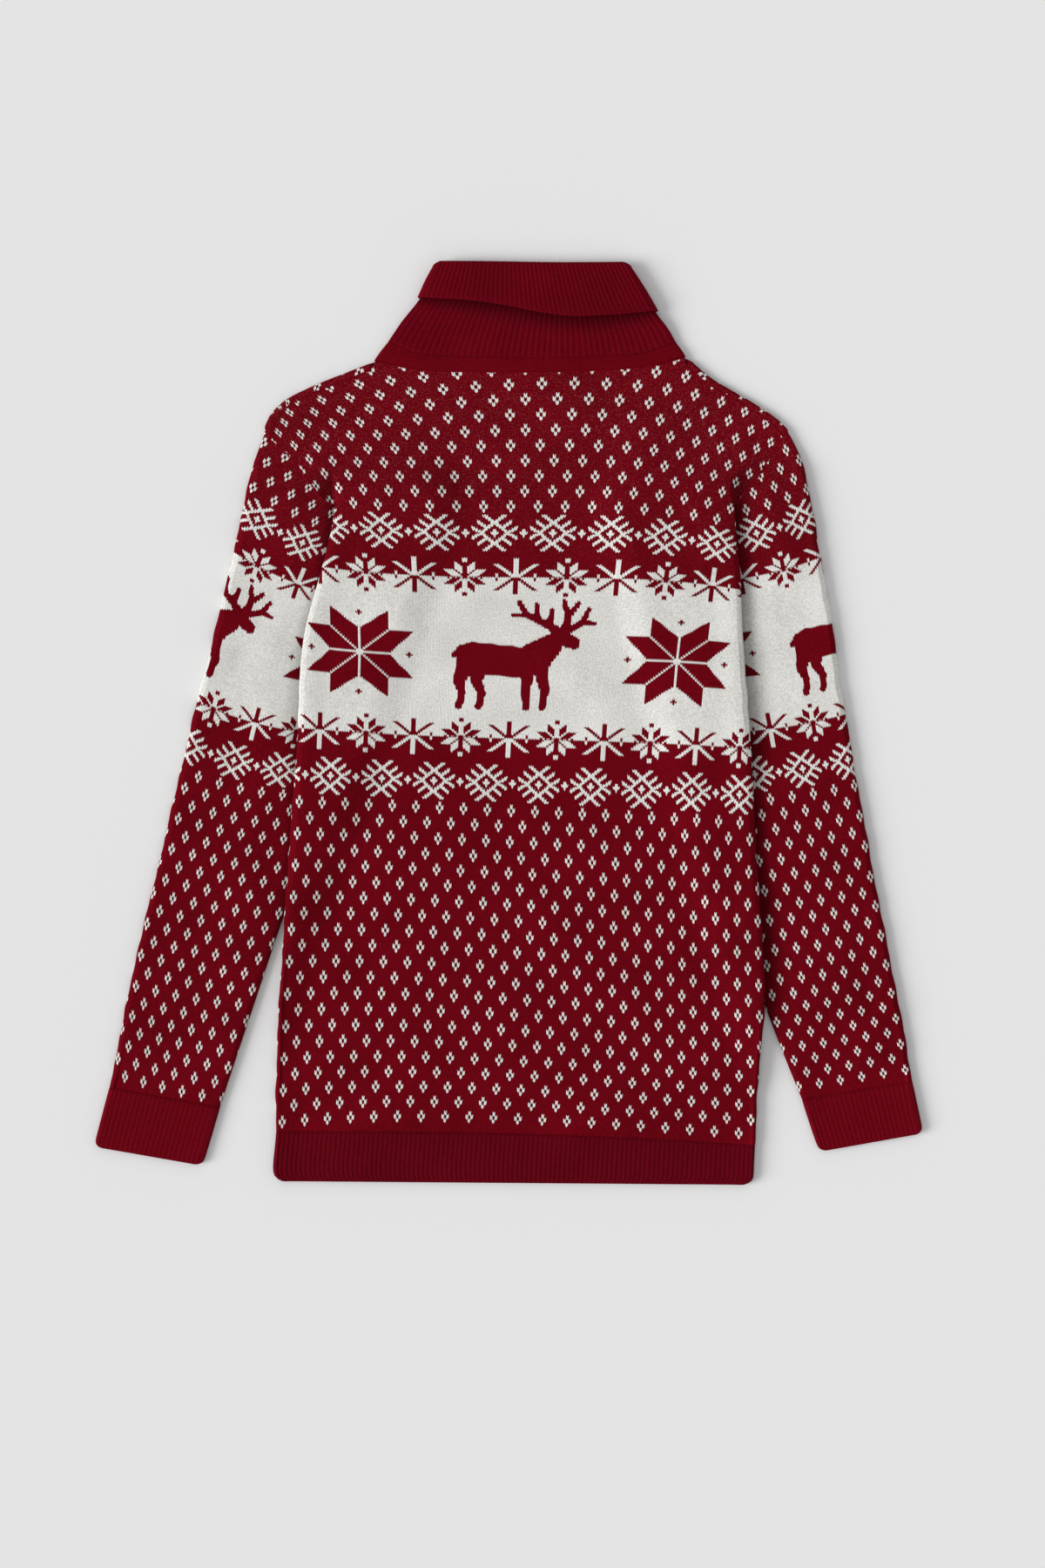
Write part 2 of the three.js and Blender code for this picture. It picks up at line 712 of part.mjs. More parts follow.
// A line round the neck at one level of the collar, back and front.
function neckLevel(level, at, onFront) {
  const low = read(collarLines, 'at', 'ribEnd', at);
  const free = read(collarLines, 'at', 'freeEdge', at);
  const drop = onFront ? frontNeckDrop * frontDip(at) : 0;
  if (level <= 0) {
    const seam = read(collarLines, 'at', 'seam', at);
    return mix(low, seam, -level) - drop;
  }
  if (level <= 1) return mix(low - drop, free, level);
  return mix(free, collarTopY, level - 1);
}

function neckSides(level) {
  const { fold, freeEdge, ribEnd, seam } = collarSides;
  const pairs = level <= 0 ? [ribEnd, seam] : level <= 1 ? [ribEnd, freeEdge] : [freeEdge, fold];
  const share = level <= 0 ? -level : level <= 1 ? level : level - 1;
  return {
    left: mix(pairs[0].left, pairs[1].left, share),
    right: mix(pairs[0].right, pairs[1].right, share),
  };
}

// Half the thickness that stands outside the neck at a level: two layers, or four in the collar.
const standHalf = flatHeight / 2;
const turnedHalf = 2 * wall + layerGap;

function neckMiddle(level, at, onFront) {
  const y = neckLevel(level, at, onFront);
  const low = read(collarLines, 'at', 'ribEnd', at);
  const free = read(collarLines, 'at', 'freeEdge', at);
  return mix(standHalf, turnedHalf, step(low, free - 1, y));
}

// One ring round the neck, a set distance out from the middle of the flattened tube.
function neckRing(level, half, columns, plain, onward = 0) {
  const ring = { at: [], points: [] };
  const sides = neckSides(level);
  const reach = level <= 0 ? standHalf : mix(standHalf, turnedHalf, clamp(level * 1.2));
  const left = sides.left + reach;
  const right = sides.right - reach;
  const put = (at, x, y, z) => {
    ring.at.push(at);
    ring.points.push({ x, y, z });
  };
  columns.forEach((column) => {
    const z = neckMiddle(level, column.u, false) + half + column.rib;
    put(0.46 * column.u, mix(left, right, column.u), neckLevel(level, column.u, false) + onward, z);
  });
  const arc = [60, 30, 0, -30, -60];
  arc.forEach((angle) => {
    const y = neckLevel(level, 1, false) + onward;
    const z = neckMiddle(level, 1, false) + half * Math.sin(turn(angle));
    put(0.46 + 0.04 * (90 - angle) / 180, right + half * Math.cos(turn(angle)), y, z);
  });
  [...plain].reverse().forEach((column) => {
    const z = neckMiddle(level, column.u, true) - half;
    const y = neckLevel(level, column.u, true) + onward;
    put(0.5 + 0.46 * (1 - column.u), mix(left, right, column.u), y, z);
  });
  [...arc].reverse().forEach((angle) => {
    const y = neckLevel(level, 0, false) + onward;
    const z = neckMiddle(level, 0, false) + half * Math.sin(turn(angle));
    put(0.96 + 0.04 * (angle + 90) / 180, left - half * Math.cos(turn(angle)), y, z);
  });
  return ring;
}

const neckColumns = [0, ...neckShares, 1].map((u) => ({ u, rib: 0 }));

function neckBand() {
  const close = seamGap / 2 / 12;
  const levels = [-close, -0.5, -1];
  const outer = levels.map((level) => neckRing(level, standHalf, neckColumns, neckColumns));
  const inner = levels.map((level) => neckRing(level, standHalf - wall, neckColumns, neckColumns));
  return ringWall('neck_band', colours.neck, [...outer, ...inner.reverse()]);
}

function collar() {
  const ribbed = ribColumns(collarRibs, 0, 1);
  const turnedInner = turnedHalf - wall;
  const foldMiddle = (standHalf + turnedInner) / 2;
  const foldRadius = turnedHalf - foldMiddle;
  const foldLevel = 2 - foldRadius / 36;
  const ring = (level, half, fine = false, onward = 0) =>
    neckRing(level, half, fine ? ribbed : neckColumns, neckColumns, onward);
  const fold = (angle, fine) =>
    ring(
      foldLevel,
      foldMiddle + foldRadius * Math.cos(turn(angle)),
      fine,
      foldRadius * Math.sin(turn(angle)),
    );
  return ringWall('collar', colours.collar, [
    ring(0.012, standHalf, true),
    ring(0.45, standHalf, true),
    ring(1, standHalf, true),
    ring(foldLevel, standHalf),
    ring(foldLevel, foldMiddle, false, 0.2),
    ring(foldLevel, turnedInner),
    ring(1, turnedInner),
    ring(1, turnedHalf - 0.5, true),
    ring(1, turnedHalf, true, 0.6),
    ring(1.5, turnedHalf, true),
    fold(0, true),
    fold(50, true),
    fold(100, false),
    fold(145, false),
    ring(foldLevel, standHalf - wall),
    ring(1, standHalf - wall),
    ring(0.66, standHalf - wall),
    ring(0.33, standHalf - wall),
    ring(0.012, standHalf - wall),
  ]);
}

const group = new THREE.Group();
group.name = 'christmas_sweater';
group.add(
  backPanel(),
  frontPanel(),
  hemRib('back_hem_rib', fromTop, true),
  hemRib('front_hem_rib', fromBottom, false),
  sleeve('left'),
  sleeve('right'),
  cuff('left'),
  cuff('right'),
  neckBand(),
  collar(),
);

export default group;
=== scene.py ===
import bpy
import math
import numpy as np
from mathutils.bvhtree import BVHTree
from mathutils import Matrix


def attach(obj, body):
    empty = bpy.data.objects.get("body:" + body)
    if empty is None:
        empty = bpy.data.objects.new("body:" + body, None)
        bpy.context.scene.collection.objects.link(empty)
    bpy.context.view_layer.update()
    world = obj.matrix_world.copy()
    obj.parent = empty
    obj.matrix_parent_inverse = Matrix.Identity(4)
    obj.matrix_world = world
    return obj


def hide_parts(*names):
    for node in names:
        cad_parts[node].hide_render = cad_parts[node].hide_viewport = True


# A Christmas sweater laid flat with its back up. Sizes here are millimetres, made metres in the meshes.
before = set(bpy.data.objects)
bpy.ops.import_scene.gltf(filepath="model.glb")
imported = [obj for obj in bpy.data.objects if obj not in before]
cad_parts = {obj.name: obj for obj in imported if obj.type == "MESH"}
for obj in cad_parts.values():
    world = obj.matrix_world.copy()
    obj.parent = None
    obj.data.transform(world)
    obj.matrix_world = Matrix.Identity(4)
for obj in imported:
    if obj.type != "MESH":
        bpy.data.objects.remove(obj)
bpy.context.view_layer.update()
mm = 0.001

cloth = {"wall": 2.4, "gap": 0.6, "seam": 0.04, "armSeam": -0.5}
flatHeight = 2 * cloth["wall"] + cloth["gap"]

body = {
    "underarmY": 184, "hemTop": -347, "hemBottom": -391, "hemTilt": 3, "sag": 12, "sagReach": 130,
    "swell": 1.6, "swellReach": 24, "overSleeve": 5.7, "rampNear": 10, "rampFar": 46,
    "shoulderWrap": 6, "shoulderShare": 0.2, "tipSlant": 1.3, "armhole": 91, "neckDrop": 38,
    "waver": 0.5, "foldTop": 207, "leftFold": -148.6, "rightFold": 193.2,
}

# sides of the body by height
bodySides = {
    "y": [-392, -377, -347, -317, -272, -236, -206, -170, -140, -95, -34, 3, 46, 81, 128, 150, 172, 184],
    "left": [-199.9, -199.8, -197.2, -197.6, -196.2, -194.5, -192.4, -190.2, -188.2, -185, -180.4,
             -178, -176.4, -171.7, -158.8, -153.1, -148.4, -147.4],
    "right": [207.8, 208.1, 209.6, 211.1, 214.3, 217.2, 216.6, 214.2, 212.2, 209, 206.2, 203.5,
              200.4, 198, 196.2, 193.4, 192.2, 191.7],
}

# armhole seams from underarm to shoulder tip
armholes = {
    "at": [0, 0.1, 0.2, 0.35, 0.5, 0.65, 0.8, 1],
    "leftX": [-149, -156.9, -162.8, -170.2, -177.6, -185, -193.4, -207.6],
    "leftY": [184, 188.7, 195.4, 205, 214.6, 224, 231.9, 243.5],
    "rightX": [192.4, 196.6, 201.3, 208, 214.4, 220.6, 227.2, 236.6],
    "rightY": [184, 188.8, 194.6, 202.6, 212.4, 223.2, 233.6, 248.6],
}

# shoulder outlines from tip to neck
shoulders = {
    "at": [0, 0.08, 0.2, 0.35, 0.55, 0.75, 1],
    "leftX": [-207.6, -206.4, -200.4, -188.6, -166.4, -143.4, -117.4],
    "leftY": [243.5, 252.6, 263.2, 274, 285.2, 294.5, 304.6],
    "rightX": [236.6, 231.2, 220.5, 206.4, 188.6, 171.6, 153.6],
    "rightY": [248.6, 254.6, 262.7, 271.8, 282, 292.4, 307.6],
}

# both sleeves' edges from shoulder tip and underarm (0) to the cuff (1)
sleeveEdges = {
    "at": [0, 0.05, 0.1, 0.2, 0.3, 0.4, 0.5, 0.6, 0.7, 0.8, 0.9, 1],
    "leftOuter": [-207.6, -217.6, -223.8, -236.1, -249.3, -263.3, -276.4, -289.5, -302.6, -316,
                  -327.4, -338.6],
    "leftInner": [-77, -85.4, -93.8, -110.6, -127.4, -144.2, -161, -177.8, -194.6, -211.4, -228.2,
                  -244.9],
    "rightOuter": [236.6, 249.3, 255.4, 265.4, 274.8, 282.6, 291.9, 301.6, 311.7, 322.4, 333.2,
                   342.6],
    "rightInner": [112, 119, 125.6, 138.4, 150, 161.4, 173, 185, 197.2, 211, 229, 249.1],
}
sleeveEnds = {
    "left": {"outerTop": 243.5, "outerEnd": -309.3, "innerTop": 177, "innerEnd": -326.3, "bulge": 5},
    "right": {"outerTop": 248.6, "outerEnd": -304.9, "innerTop": 177, "innerEnd": -320.4, "bulge": 6},
}

# cuff corners at the sleeve and at the open end
cuffs = {
    "left": {"outer": -338.6 - 309.3j, "inner": -244.9 - 326.3j,
             "outerEnd": -352 - 360.2j, "innerEnd": -259.6 - 376.4j},
    "right": {"outer": 342.6 - 304.9j, "inner": 249.1 - 320.4j,
              "outerEnd": 352 - 348.8j, "innerEnd": 263.2 - 364.6j},
}

# level lines of the collar across the back
collarLines = {
    "at": [0, 0.1, 0.2, 0.35, 0.5, 0.65, 0.8, 0.9, 1],
    "freeEdge": [359.6, 358.2, 357, 352.8, 346.8, 342.9, 343.9, 345.4, 347.8],
    "ribEnd": [321.9, 312.6, 310.2, 309.2, 308.6, 309.2, 310.8, 313, 321.2],
    "seam": [306.4, 300.6, 297.9, 297, 296.7, 297.6, 299.6, 302.6, 309.6],
}
collarSides = {
    "fold": (-64.6, 103.8), "freeEdge": (-77.6, 127.6), "ribEnd": (-102.9, 142.8),
    "seam": (-114.4, 150.6),
}


def mix(low, high, share):
    return low + (high - low) * share


def ease(t):
    t = np.clip(t, 0.0, 1.0)
    return t * t * (3 - 2 * t)


def step(low, high, value):
    return ease((value - low) / (high - low))


def bell(t):
    return np.exp(-np.minimum(t * t, 40))


def unit(p):
    return p / np.abs(p)


# a column of a table at any key, drawn smoothly through its rows
def along(table, key, column, at):
    keys = np.array(table[key], float)
    values = np.array(table[column], float)
    last = len(keys) - 1
    at = np.asarray(at, float)
    k = np.clip(np.searchsorted(keys, at, side="left") - 1, 0, last - 1)
    after = np.minimum(np.arange(last + 1) + 1, last)
    before = np.maximum(np.arange(last + 1) - 1, 0)
    rise = (values[after] - values[before]) / (keys[after] - keys[before])
    span = keys[k + 1] - keys[k]
    t = np.clip((at - keys[k]) / span, 0, 1)
    pull = t * (1 - t) * span
    return mix(values[k], values[k + 1], ease(t)) + pull * ((1 - t) * rise[k] - t * rise[k + 1])


def armhole(side, at):
    return along(armholes, "at", side + "X", at) + 1j * along(armholes, "at", side + "Y", at)


def shoulder(side, at):
    return along(shoulders, "at", side + "X", at) + 1j * along(shoulders, "at", side + "Y", at)


# plan points are complex numbers, x + y j


def waver(y, seed):
    return (np.sin(y / 3.9 + seed) * 0.5 + np.sin(y / 6.3 + 2.1 * seed) * 0.35
            + np.sin(y / 13.7 + 0.7 * seed) * 0.45)


def liftOnSide(side, p):
    out = -1 if side == "left" else 1
    ends = sleeveEnds[side]
    share = np.clip((ends["innerTop"] - p.imag) / (ends["innerTop"] - ends["innerEnd"]), 0, 1)
    inner = along(sleeveEdges, "at", side + "Inner", share)
    sideways = np.maximum((inner - p.real) * out * 0.96, 0)
    upward = np.maximum(p.imag - body["underarmY"], 0)
    return 1 - step(body["rampNear"], body["rampFar"], np.hypot(sideways, upward))


def lift(p):
    return body["overSleeve"] * np.maximum(liftOnSide("left", p), liftOnSide("right", p))


def swell(p):
    left = along(bodySides, "y", "left", p.imag)
    right = along(bodySides, "y", "right", p.imag)
    reach = np.maximum(np.minimum(p.real - left, right - p.real), 0)
    return (body["swell"] * (1 - ease(reach / body["swellReach"]))
            * step(body["underarmY"], body["underarmY"] - 50, p.imag))


# soft creases, listed one by one: middle, direction in degrees, half length, half width, height
creases = {
    "body": [
        (-128, 168, 52, 62, 9, 1.7), (-112, 140, 68, 46, 8, -0.9), (-96, 196, 40, 48, 11, 0.9),
        (166, 172, 122, 56, 9, 1.6), (150, 138, 108, 44, 8, -0.8), (128, 204, 138, 42, 10, 0.8),
        (-118, -196, 58, 92, 17, -0.9), (-150, -252, 66, 60, 15, 0.8), (-84, -262, 40, 70, 16, 0.5),
        (176, -246, 112, 70, 15, -0.8), (150, -196, 100, 84, 17, 0.6), (190, -150, 96, 60, 12, 0.7),
        (-168, -92, 86, 78, 12, 0.7), (-172, 10, 94, 54, 10, 0.6), (196, -28, 88, 58, 10, 0.7),
        (10, -150, 8, 120, 26, 0.5), (64, 30, -14, 90, 22, 0.4), (-40, 232, 4, 88, 20, 0.5),
        (60, 262, -22, 60, 13, 0.6), (-84, 268, 26, 56, 12, 0.6), (34, -318, 4, 130, 14, 0.7),
        (-110, -322, -6, 60, 11, -0.5), (150, -326, 8, 48, 10, 0.5), (92, -92, -34, 74, 20, -0.5),
        (-60, -40, 28, 86, 22, -0.5), (16, 150, 0, 110, 22, -0.4),
    ],
    "left": [
        (-186, 186, 50, 34, 8, 1.2), (-206, 130, 76, 48, 9, 0.8), (-222, 60, 60, 36, 9, -0.6),
        (-240, -10, 82, 60, 10, 0.7), (-262, -96, 64, 44, 10, -0.6), (-280, -190, 84, 62, 10, 0.8),
        (-296, -250, 34, 34, 8, 0.9), (-276, -288, -12, 34, 8, -0.7), (-318, -236, 96, 40, 8, 0.6),
    ],
    "right": [
        (218, 190, 128, 34, 8, 1.1), (238, 132, 100, 50, 9, 0.8), (250, 58, 118, 36, 9, -0.6),
        (262, -20, 96, 60, 10, 0.6), (276, -104, 116, 46, 10, -0.6), (290, -176, 98, 52, 10, 0.7),
        (292, -214, 30, 26, 7, 1.4), (306, -232, 122, 24, 6, -1.3), (318, -250, 46, 26, 7, 1.5),
        (286, -262, 118, 26, 7, -1.0), (300, -284, 60, 24, 8, 1.0), (326, -270, 92, 24, 7, -0.9),
    ],
}


def creaseHeight(name, p):
    total = np.zeros(p.shape)
    for x, y, degrees, length, width, height in creases[name]:
        turned = (p - (x + 1j * y)) * np.exp(-1j * math.radians(degrees))
        bend = turned.imag - 0.0022 * turned.real ** 2 * np.sign(height)
        total += height * bell(turned.real / length) * bell(bend / width)
    return total


def bodyPuff(p):
    fadeTop = step(-2, 40, 300 - p.imag - 0.0009 * (p.real - 18) ** 2)
    ahead = np.clip((p.imag - 184) / 62, 0, 1)
    fadeArm = np.where(p.imag > 184, step(2, 20, np.minimum(p.real - armhole("left", ahead).real,
                                                            armhole("right", ahead).real - p.real)), 1)
    fadeHem = 0.35 + 0.65 * step(body["hemTop"], body["hemTop"] + 50, p.imag)
    left = along(bodySides, "y", "left", p.imag)
    right = along(bodySides, "y", "right", p.imag)
    inside = np.minimum(p.real - left, right - p.real)
    fadeSide = 0.5 + 0.5 * step(0, 26, inside)
    roll = (0.8 * bell((inside - 10) / 9) * step(205, 165, p.imag)
            * (0.35 + 0.65 * step(-250, -150, p.imag)) * (1 + 0.25 * np.sin(p.imag / 23)))
    slow = 0.2 * np.sin(p.real / 41 + p.imag / 97) * np.sin(p.imag / 53 - p.real / 130 + 0.8)
    return (np.maximum(1.1 + 0.55 * creaseHeight("body", p) + slow, 0) * fadeSide + roll) * fadeTop * fadeHem * fadeArm


# --- the knit's own lattice: x = sum(cx[k] c^k), y = sum(cy[k] c^k), each coefficient read by row v
knitBody = {
    "v": [0, 40, 80, 120, 160, 180, 204, 246, 289, 312, 326, 342, 358, 374, 390, 406],
    "x": [
        (-3.3774, 2.0662, 0.00053164, -3.0594e-06), (2.736, 2.0839, -6.6379e-06, -6.0524e-06),
        (6.3373, 2.0616, -0.00028113, -6.9344e-06), (9.0822, 2.0333, -0.00036515, -6.6522e-06),
        (11.864, 2.0178, -0.00033179, -6.1524e-06), (13.384, 2.0182, -0.00029386, -6.1168e-06),
        (15.326, 2.0274, -0.00024644, -6.4812e-06), (18.896, 2.0714, -0.00020347, -8.7758e-06),
        (22.422, 2.1657, -0.00028725, -1.4292e-05), (24.103, 2.2456, -0.00041592, -1.8961e-05),
        (25.027, 2.3078, -0.00053061, -2.2493e-05), (25.985, 2.3943, -0.00070016, -2.723e-05),
        (26.838, 2.5006, -0.00091513, -3.2772e-05), (27.599, 2.6309, -0.0011801, -3.9181e-05),
        (28.293, 2.7898, -0.0014997, -4.6518e-05), (28.959, 2.9829, -0.0018784, -5.4841e-05),
    ],
    "y": [
        (-344.96, -0.0758, -0.00092679, 3.3146e-06), (-284.07, -0.11802, -0.00060207, 4.3627e-06),
        (-218.8, -0.13747, -0.00041352, 4.1699e-06), (-152.08, -0.12877, -0.00025764, 2.8239e-06),
        (-85.58, -0.099187, -9.3706e-05, 4.1224e-07), (-52.662, -0.080749, -1.3156e-05, -1.1659e-06),
        (-13.495, -0.058824, 6.7745e-05, -3.367e-06), (54.32, -0.028463, 9.8266e-05, -7.9714e-06),
        (123.31, -0.013101, -0.00018588, -1.3587e-05), (160.27, -0.0087573, -0.00056048, -1.6927e-05),
        (182.85, -0.0052669, -0.0008928, -1.9066e-05), (208.75, 0.0017329, -0.0013891, -2.1603e-05),
        (234.76, 0.014695, -0.0020298, -2.4232e-05), (260.88, 0.037204, -0.0028373, -2.6948e-05),
        (287.08, 0.073641, -0.0038358, -2.9746e-05), (313.33, 0.12925, -0.005051, -3.262e-05),
    ],
}
knitLeft = {
    "v": [0, 60, 120, 166, 180, 204, 246, 289, 312, 326, 342, 358, 374],
    "x": [
        (-303.1, 1.5925, 0.0027936), (-289.36, 1.7102, 0.0018616), (-270.04, 1.7629, 0.00092953),
        (-253.99, 1.772, 0.00021495), (-248.98, 1.7709, -2.5e-06), (-240.17, 1.7661, -0.00037536),
        (-223.56, 1.752, -0.0010278), (-203.35, 1.7363, -0.0016958), (-190.26, 1.73, -0.0020531),
        (-181.21, 1.7274, -0.0022705), (-169.66, 1.7262, -0.0025191), (-156.59, 1.727, -0.0027676),
        (-141.76, 1.7304, -0.0030162),
    ],
    "y": [
        (-316.87, -0.4239, 0.0016429), (-220.34, -0.36187, 0.003061), (-122.21, -0.43846, 0.0044791),
        (-49.312, -0.55085, 0.0055664), (-27.79, -0.5893, 0.0058973), (8.2904, -0.656, 0.0064645),
        (68.93, -0.76412, 0.0074572), (128.13, -0.8437, 0.0084735), (158.96, -0.86519, 0.0090171),
        (177.58, -0.86902, 0.009348), (198.83, -0.86356, 0.0097261), (220.18, -0.84645, 0.010104),
        (241.74, -0.81645, 0.010482),
    ],
}
knitRight = {
    "v": [0, 60, 120, 166, 180, 204, 246, 289, 312, 326, 342, 358, 374],
    "x": [
        (291.72, 1.8101, 0.0012633), (277.87, 1.7956, 0.00012315), (262, 1.7915, -0.001017),
        (249.5, 1.7949, -0.0018911), (245.68, 1.7971, -0.0021572), (239.1, 1.8019, -0.0026132),
        (227.3, 1.8139, -0.0034114), (214.3, 1.8305, -0.0042285), (206.63, 1.8411, -0.0046655),
        (201.61, 1.8482, -0.0049316), (195.48, 1.8568, -0.0052356), (188.85, 1.8659, -0.0055397),
        (181.61, 1.8756, -0.0058437),
    ],
    "y": [
        (-310.21, 0.29138, 0.00015708), (-228.42, 0.24733, 0.0011356), (-135.3, 0.24274, 0.0021142),
        (-62.148, 0.26068, 0.0028644), (-40.067, 0.26919, 0.0030927), (-2.6247, 0.28656, 0.0034841),
        (61.42, 0.32404, 0.0041691), (125.31, 0.36914, 0.0048704), (159.2, 0.39499, 0.0052455),
        (179.9, 0.41104, 0.0054738), (203.78, 0.42952, 0.0057348), (228.04, 0.44799, 0.0059957),
        (252.86, 0.46628, 0.0062567),
    ],
}


def latticePoint(lattice, c, v):
    rows = np.array(lattice["v"], float)
    held = np.clip(v, rows[0], rows[-1])
    powers = np.stack([c ** k for k in range(len(lattice["x"][0]))])

    def place(at):
        flat = np.stack([np.stack([
            np.interp(at, rows, [line[k] for line in lattice[name]])
            for k in range(len(powers))]) for name in ("x", "y")])
        return (flat * powers).sum(axis=1)

    x, y = place(held)
    beyond = v - held
    near = np.where(v > held, rows[-1] - 8, rows[0])
    stepX, stepY = (place(near + 8) - place(near)) / 8
    return x + beyond * stepX + 1j * (y + beyond * stepY)


# stitch and row numbers at plan points, by Newton's steps
def stitchesAt(lattice, p, guess):
    c = (p.real - guess[0]) / 2.0
    v = (p.imag - guess[1]) / 1.62
    for _ in range(9):
        here = latticePoint(lattice, c, v)
        dc = latticePoint(lattice, c + 0.5, v) - here
        dv = latticePoint(lattice, c, v + 0.5) - here
        miss = p - here
        area = dc.real * dv.imag - dc.imag * dv.real
        c = c + np.clip(0.5 * (miss.real * dv.imag - miss.imag * dv.real) / area, -40, 40)
        v = v + np.clip(0.5 * (dc.real * miss.imag - dc.imag * miss.real) / area, -40, 40)
    return c, v


# --- meshes from grids of points


def clothPiece(name, places, faces, uvs, uvFaces, ribs=None, ribReach=None, shade=None):
    a, b, c, d = (places[faces[:, k]] for k in range(4))
    turned = (np.einsum("ij,ij->i", a, np.cross(b, c)).sum()
              + np.einsum("ij,ij->i", a, np.cross(c, d)).sum()) < 0
    if turned:
        faces, uvFaces = faces[:, ::-1], uvFaces[:, ::-1]
    mesh = bpy.data.meshes.new(name)
    mesh.from_pydata((places * mm).tolist(), [], faces.tolist())
    layer = mesh.uv_layers.new(name="stitches")
    layer.data.foreach_set("uv", uvs[uvFaces.reshape(-1)].astype(np.float32).reshape(-1))
    if ribs is not None:
        mesh.attributes.new("ribAcross", "FLOAT", "POINT").data.foreach_set("value", ribs)
        mesh.attributes.new("ribReach", "FLOAT", "POINT").data.foreach_set("value", ribReach)
    # shade holds painted shade, which the knit finish blends towards black
    if shade is not None:
        mesh.attributes.new("shade", "FLOAT", "POINT").data.foreach_set("value", shade)
    mesh.polygons.foreach_set("use_smooth", [True] * len(mesh.polygons))
    mesh.validate()
    piece = bpy.data.objects.new(name, mesh)
    bpy.context.scene.collection.objects.link(piece)
    return piece


def gridFaces(ids):
    return np.stack([ids[:-1, :-1], ids[:-1, 1:], ids[1:, 1:], ids[1:, :-1]], axis=-1).reshape(-1, 4)


# a wall between an outer and an inner grid, closed along its four rims
def sheetPiece(name, outer, inner, uv, ribs=None, ribReach=None, shade=None):
    rows, columns = outer.shape[:2]
    near = np.arange(rows * columns).reshape(rows, columns)
    far = near + rows * columns
    places = np.concatenate([outer.reshape(-1, 3), inner.reshape(-1, 3)])
    rims = [np.stack([near[0], far[0]]), np.stack([far[-1], near[-1]]),
            np.stack([far[:, 0], near[:, 0]]), np.stack([near[:, -1], far[:, -1]])]
    faces = np.concatenate([gridFaces(near), gridFaces(far[:, ::-1])] + [gridFaces(r[::-1]) for r in rims])
    flat = uv.reshape(-1, 2)
    uvs = np.concatenate([flat, flat])
    if ribs is not None:
        ribs = np.concatenate([ribs.reshape(-1), np.zeros(rows * columns)])
        ribReach = np.concatenate([ribReach.reshape(-1), np.zeros(rows * columns)])
    if shade is not None:
        shade = np.concatenate([shade.reshape(-1), np.zeros(rows * columns)])
    return clothPiece(name, places, faces, uvs, faces, ribs, ribReach, shade)


# closed rings, the last of which meets the first
def ringPiece(name, rings, uv, ribs=None, ribReach=None, shade=None):
    rows, columns = rings.shape[:2]
    ids = np.arange(rows * columns).reshape(rows, columns)
    ids = np.concatenate([ids, ids[:1]])
    ids = np.concatenate([ids, ids[:, :1]], axis=1)
    uvIds = np.arange((rows + 1) * (columns + 1)).reshape(rows + 1, columns + 1)
    return clothPiece(name, rings.reshape(-1, 3), gridFaces(ids), uv.reshape(-1, 2), gridFaces(uvIds),
                      None if ribs is None else ribs.reshape(-1),
                      None if ribs is None else ribReach.reshape(-1),
                      None if shade is None else shade.reshape(-1))


def lipDrop(distance, radius):
    inside = np.clip(1 - distance / radius, 0, 1)
    return radius * (1 - np.sqrt(1 - inside ** 2))


# --- body panels


def armholeEdge(side, at):
    inward = 0.7 + 0.7j if side == "left" else -0.8 + 0.6j
    return armhole(side, at) + inward * cloth["armSeam"] / 2


def shoulderInward(side, at):
    ahead = shoulder(side, np.minimum(at + 0.06, 1))
    behind = shoulder(side, np.maximum(at - 0.06, 0))
    edge = unit(ahead - behind)
    inward = edge * (-1j if side == "left" else 1j)
    seam = unit(armhole(side, 0.9) - armhole(side, 1))
    return mix(inward, seam * body["tipSlant"], np.clip(1 - at / 0.2, 0, 1))


def shoulderEdge(side, at, setBack):
    free = shoulder(side, at) + shoulderInward(side, at) * setBack
    tip = shoulder(side, 0) + shoulderInward(side, 0) * setBack
    onSeam = armholeEdge(side, 1 - body["tipSlant"] * setBack / body["armhole"])
    return free + (onSeam - tip) * np.clip(1 - at / 0.2, 0, 1)


def frontDip(at):
    return np.clip(1 - (2 * at - 1) ** 2, 0, 1) ** 1.2


def topEdge(u, setBack, neckDrop):
    share = body["shoulderShare"]
    left = shoulderEdge("left", np.clip(u / share, 0, 1), setBack)
    right = shoulderEdge("right", np.clip((1 - u) / share, 0, 1), setBack)
    at = np.clip((u - share) / (1 - 2 * share), 0, 1)
    clearance = 2 * cloth["seam"] if neckDrop > 0 else cloth["seam"]
    neck = (mix(collarSides["seam"][0], collarSides["seam"][1], at)
            + 1j * (along(collarLines, "at", "seam", at) - clearance - neckDrop * frontDip(at)))
    return np.where(u <= share, left, np.where(u >= 1 - share, right, neck))


def sag(u, y):
    return body["sag"] * u ** 2.6 * step(body["hemTop"] + body["sagReach"], body["hemTop"], y)


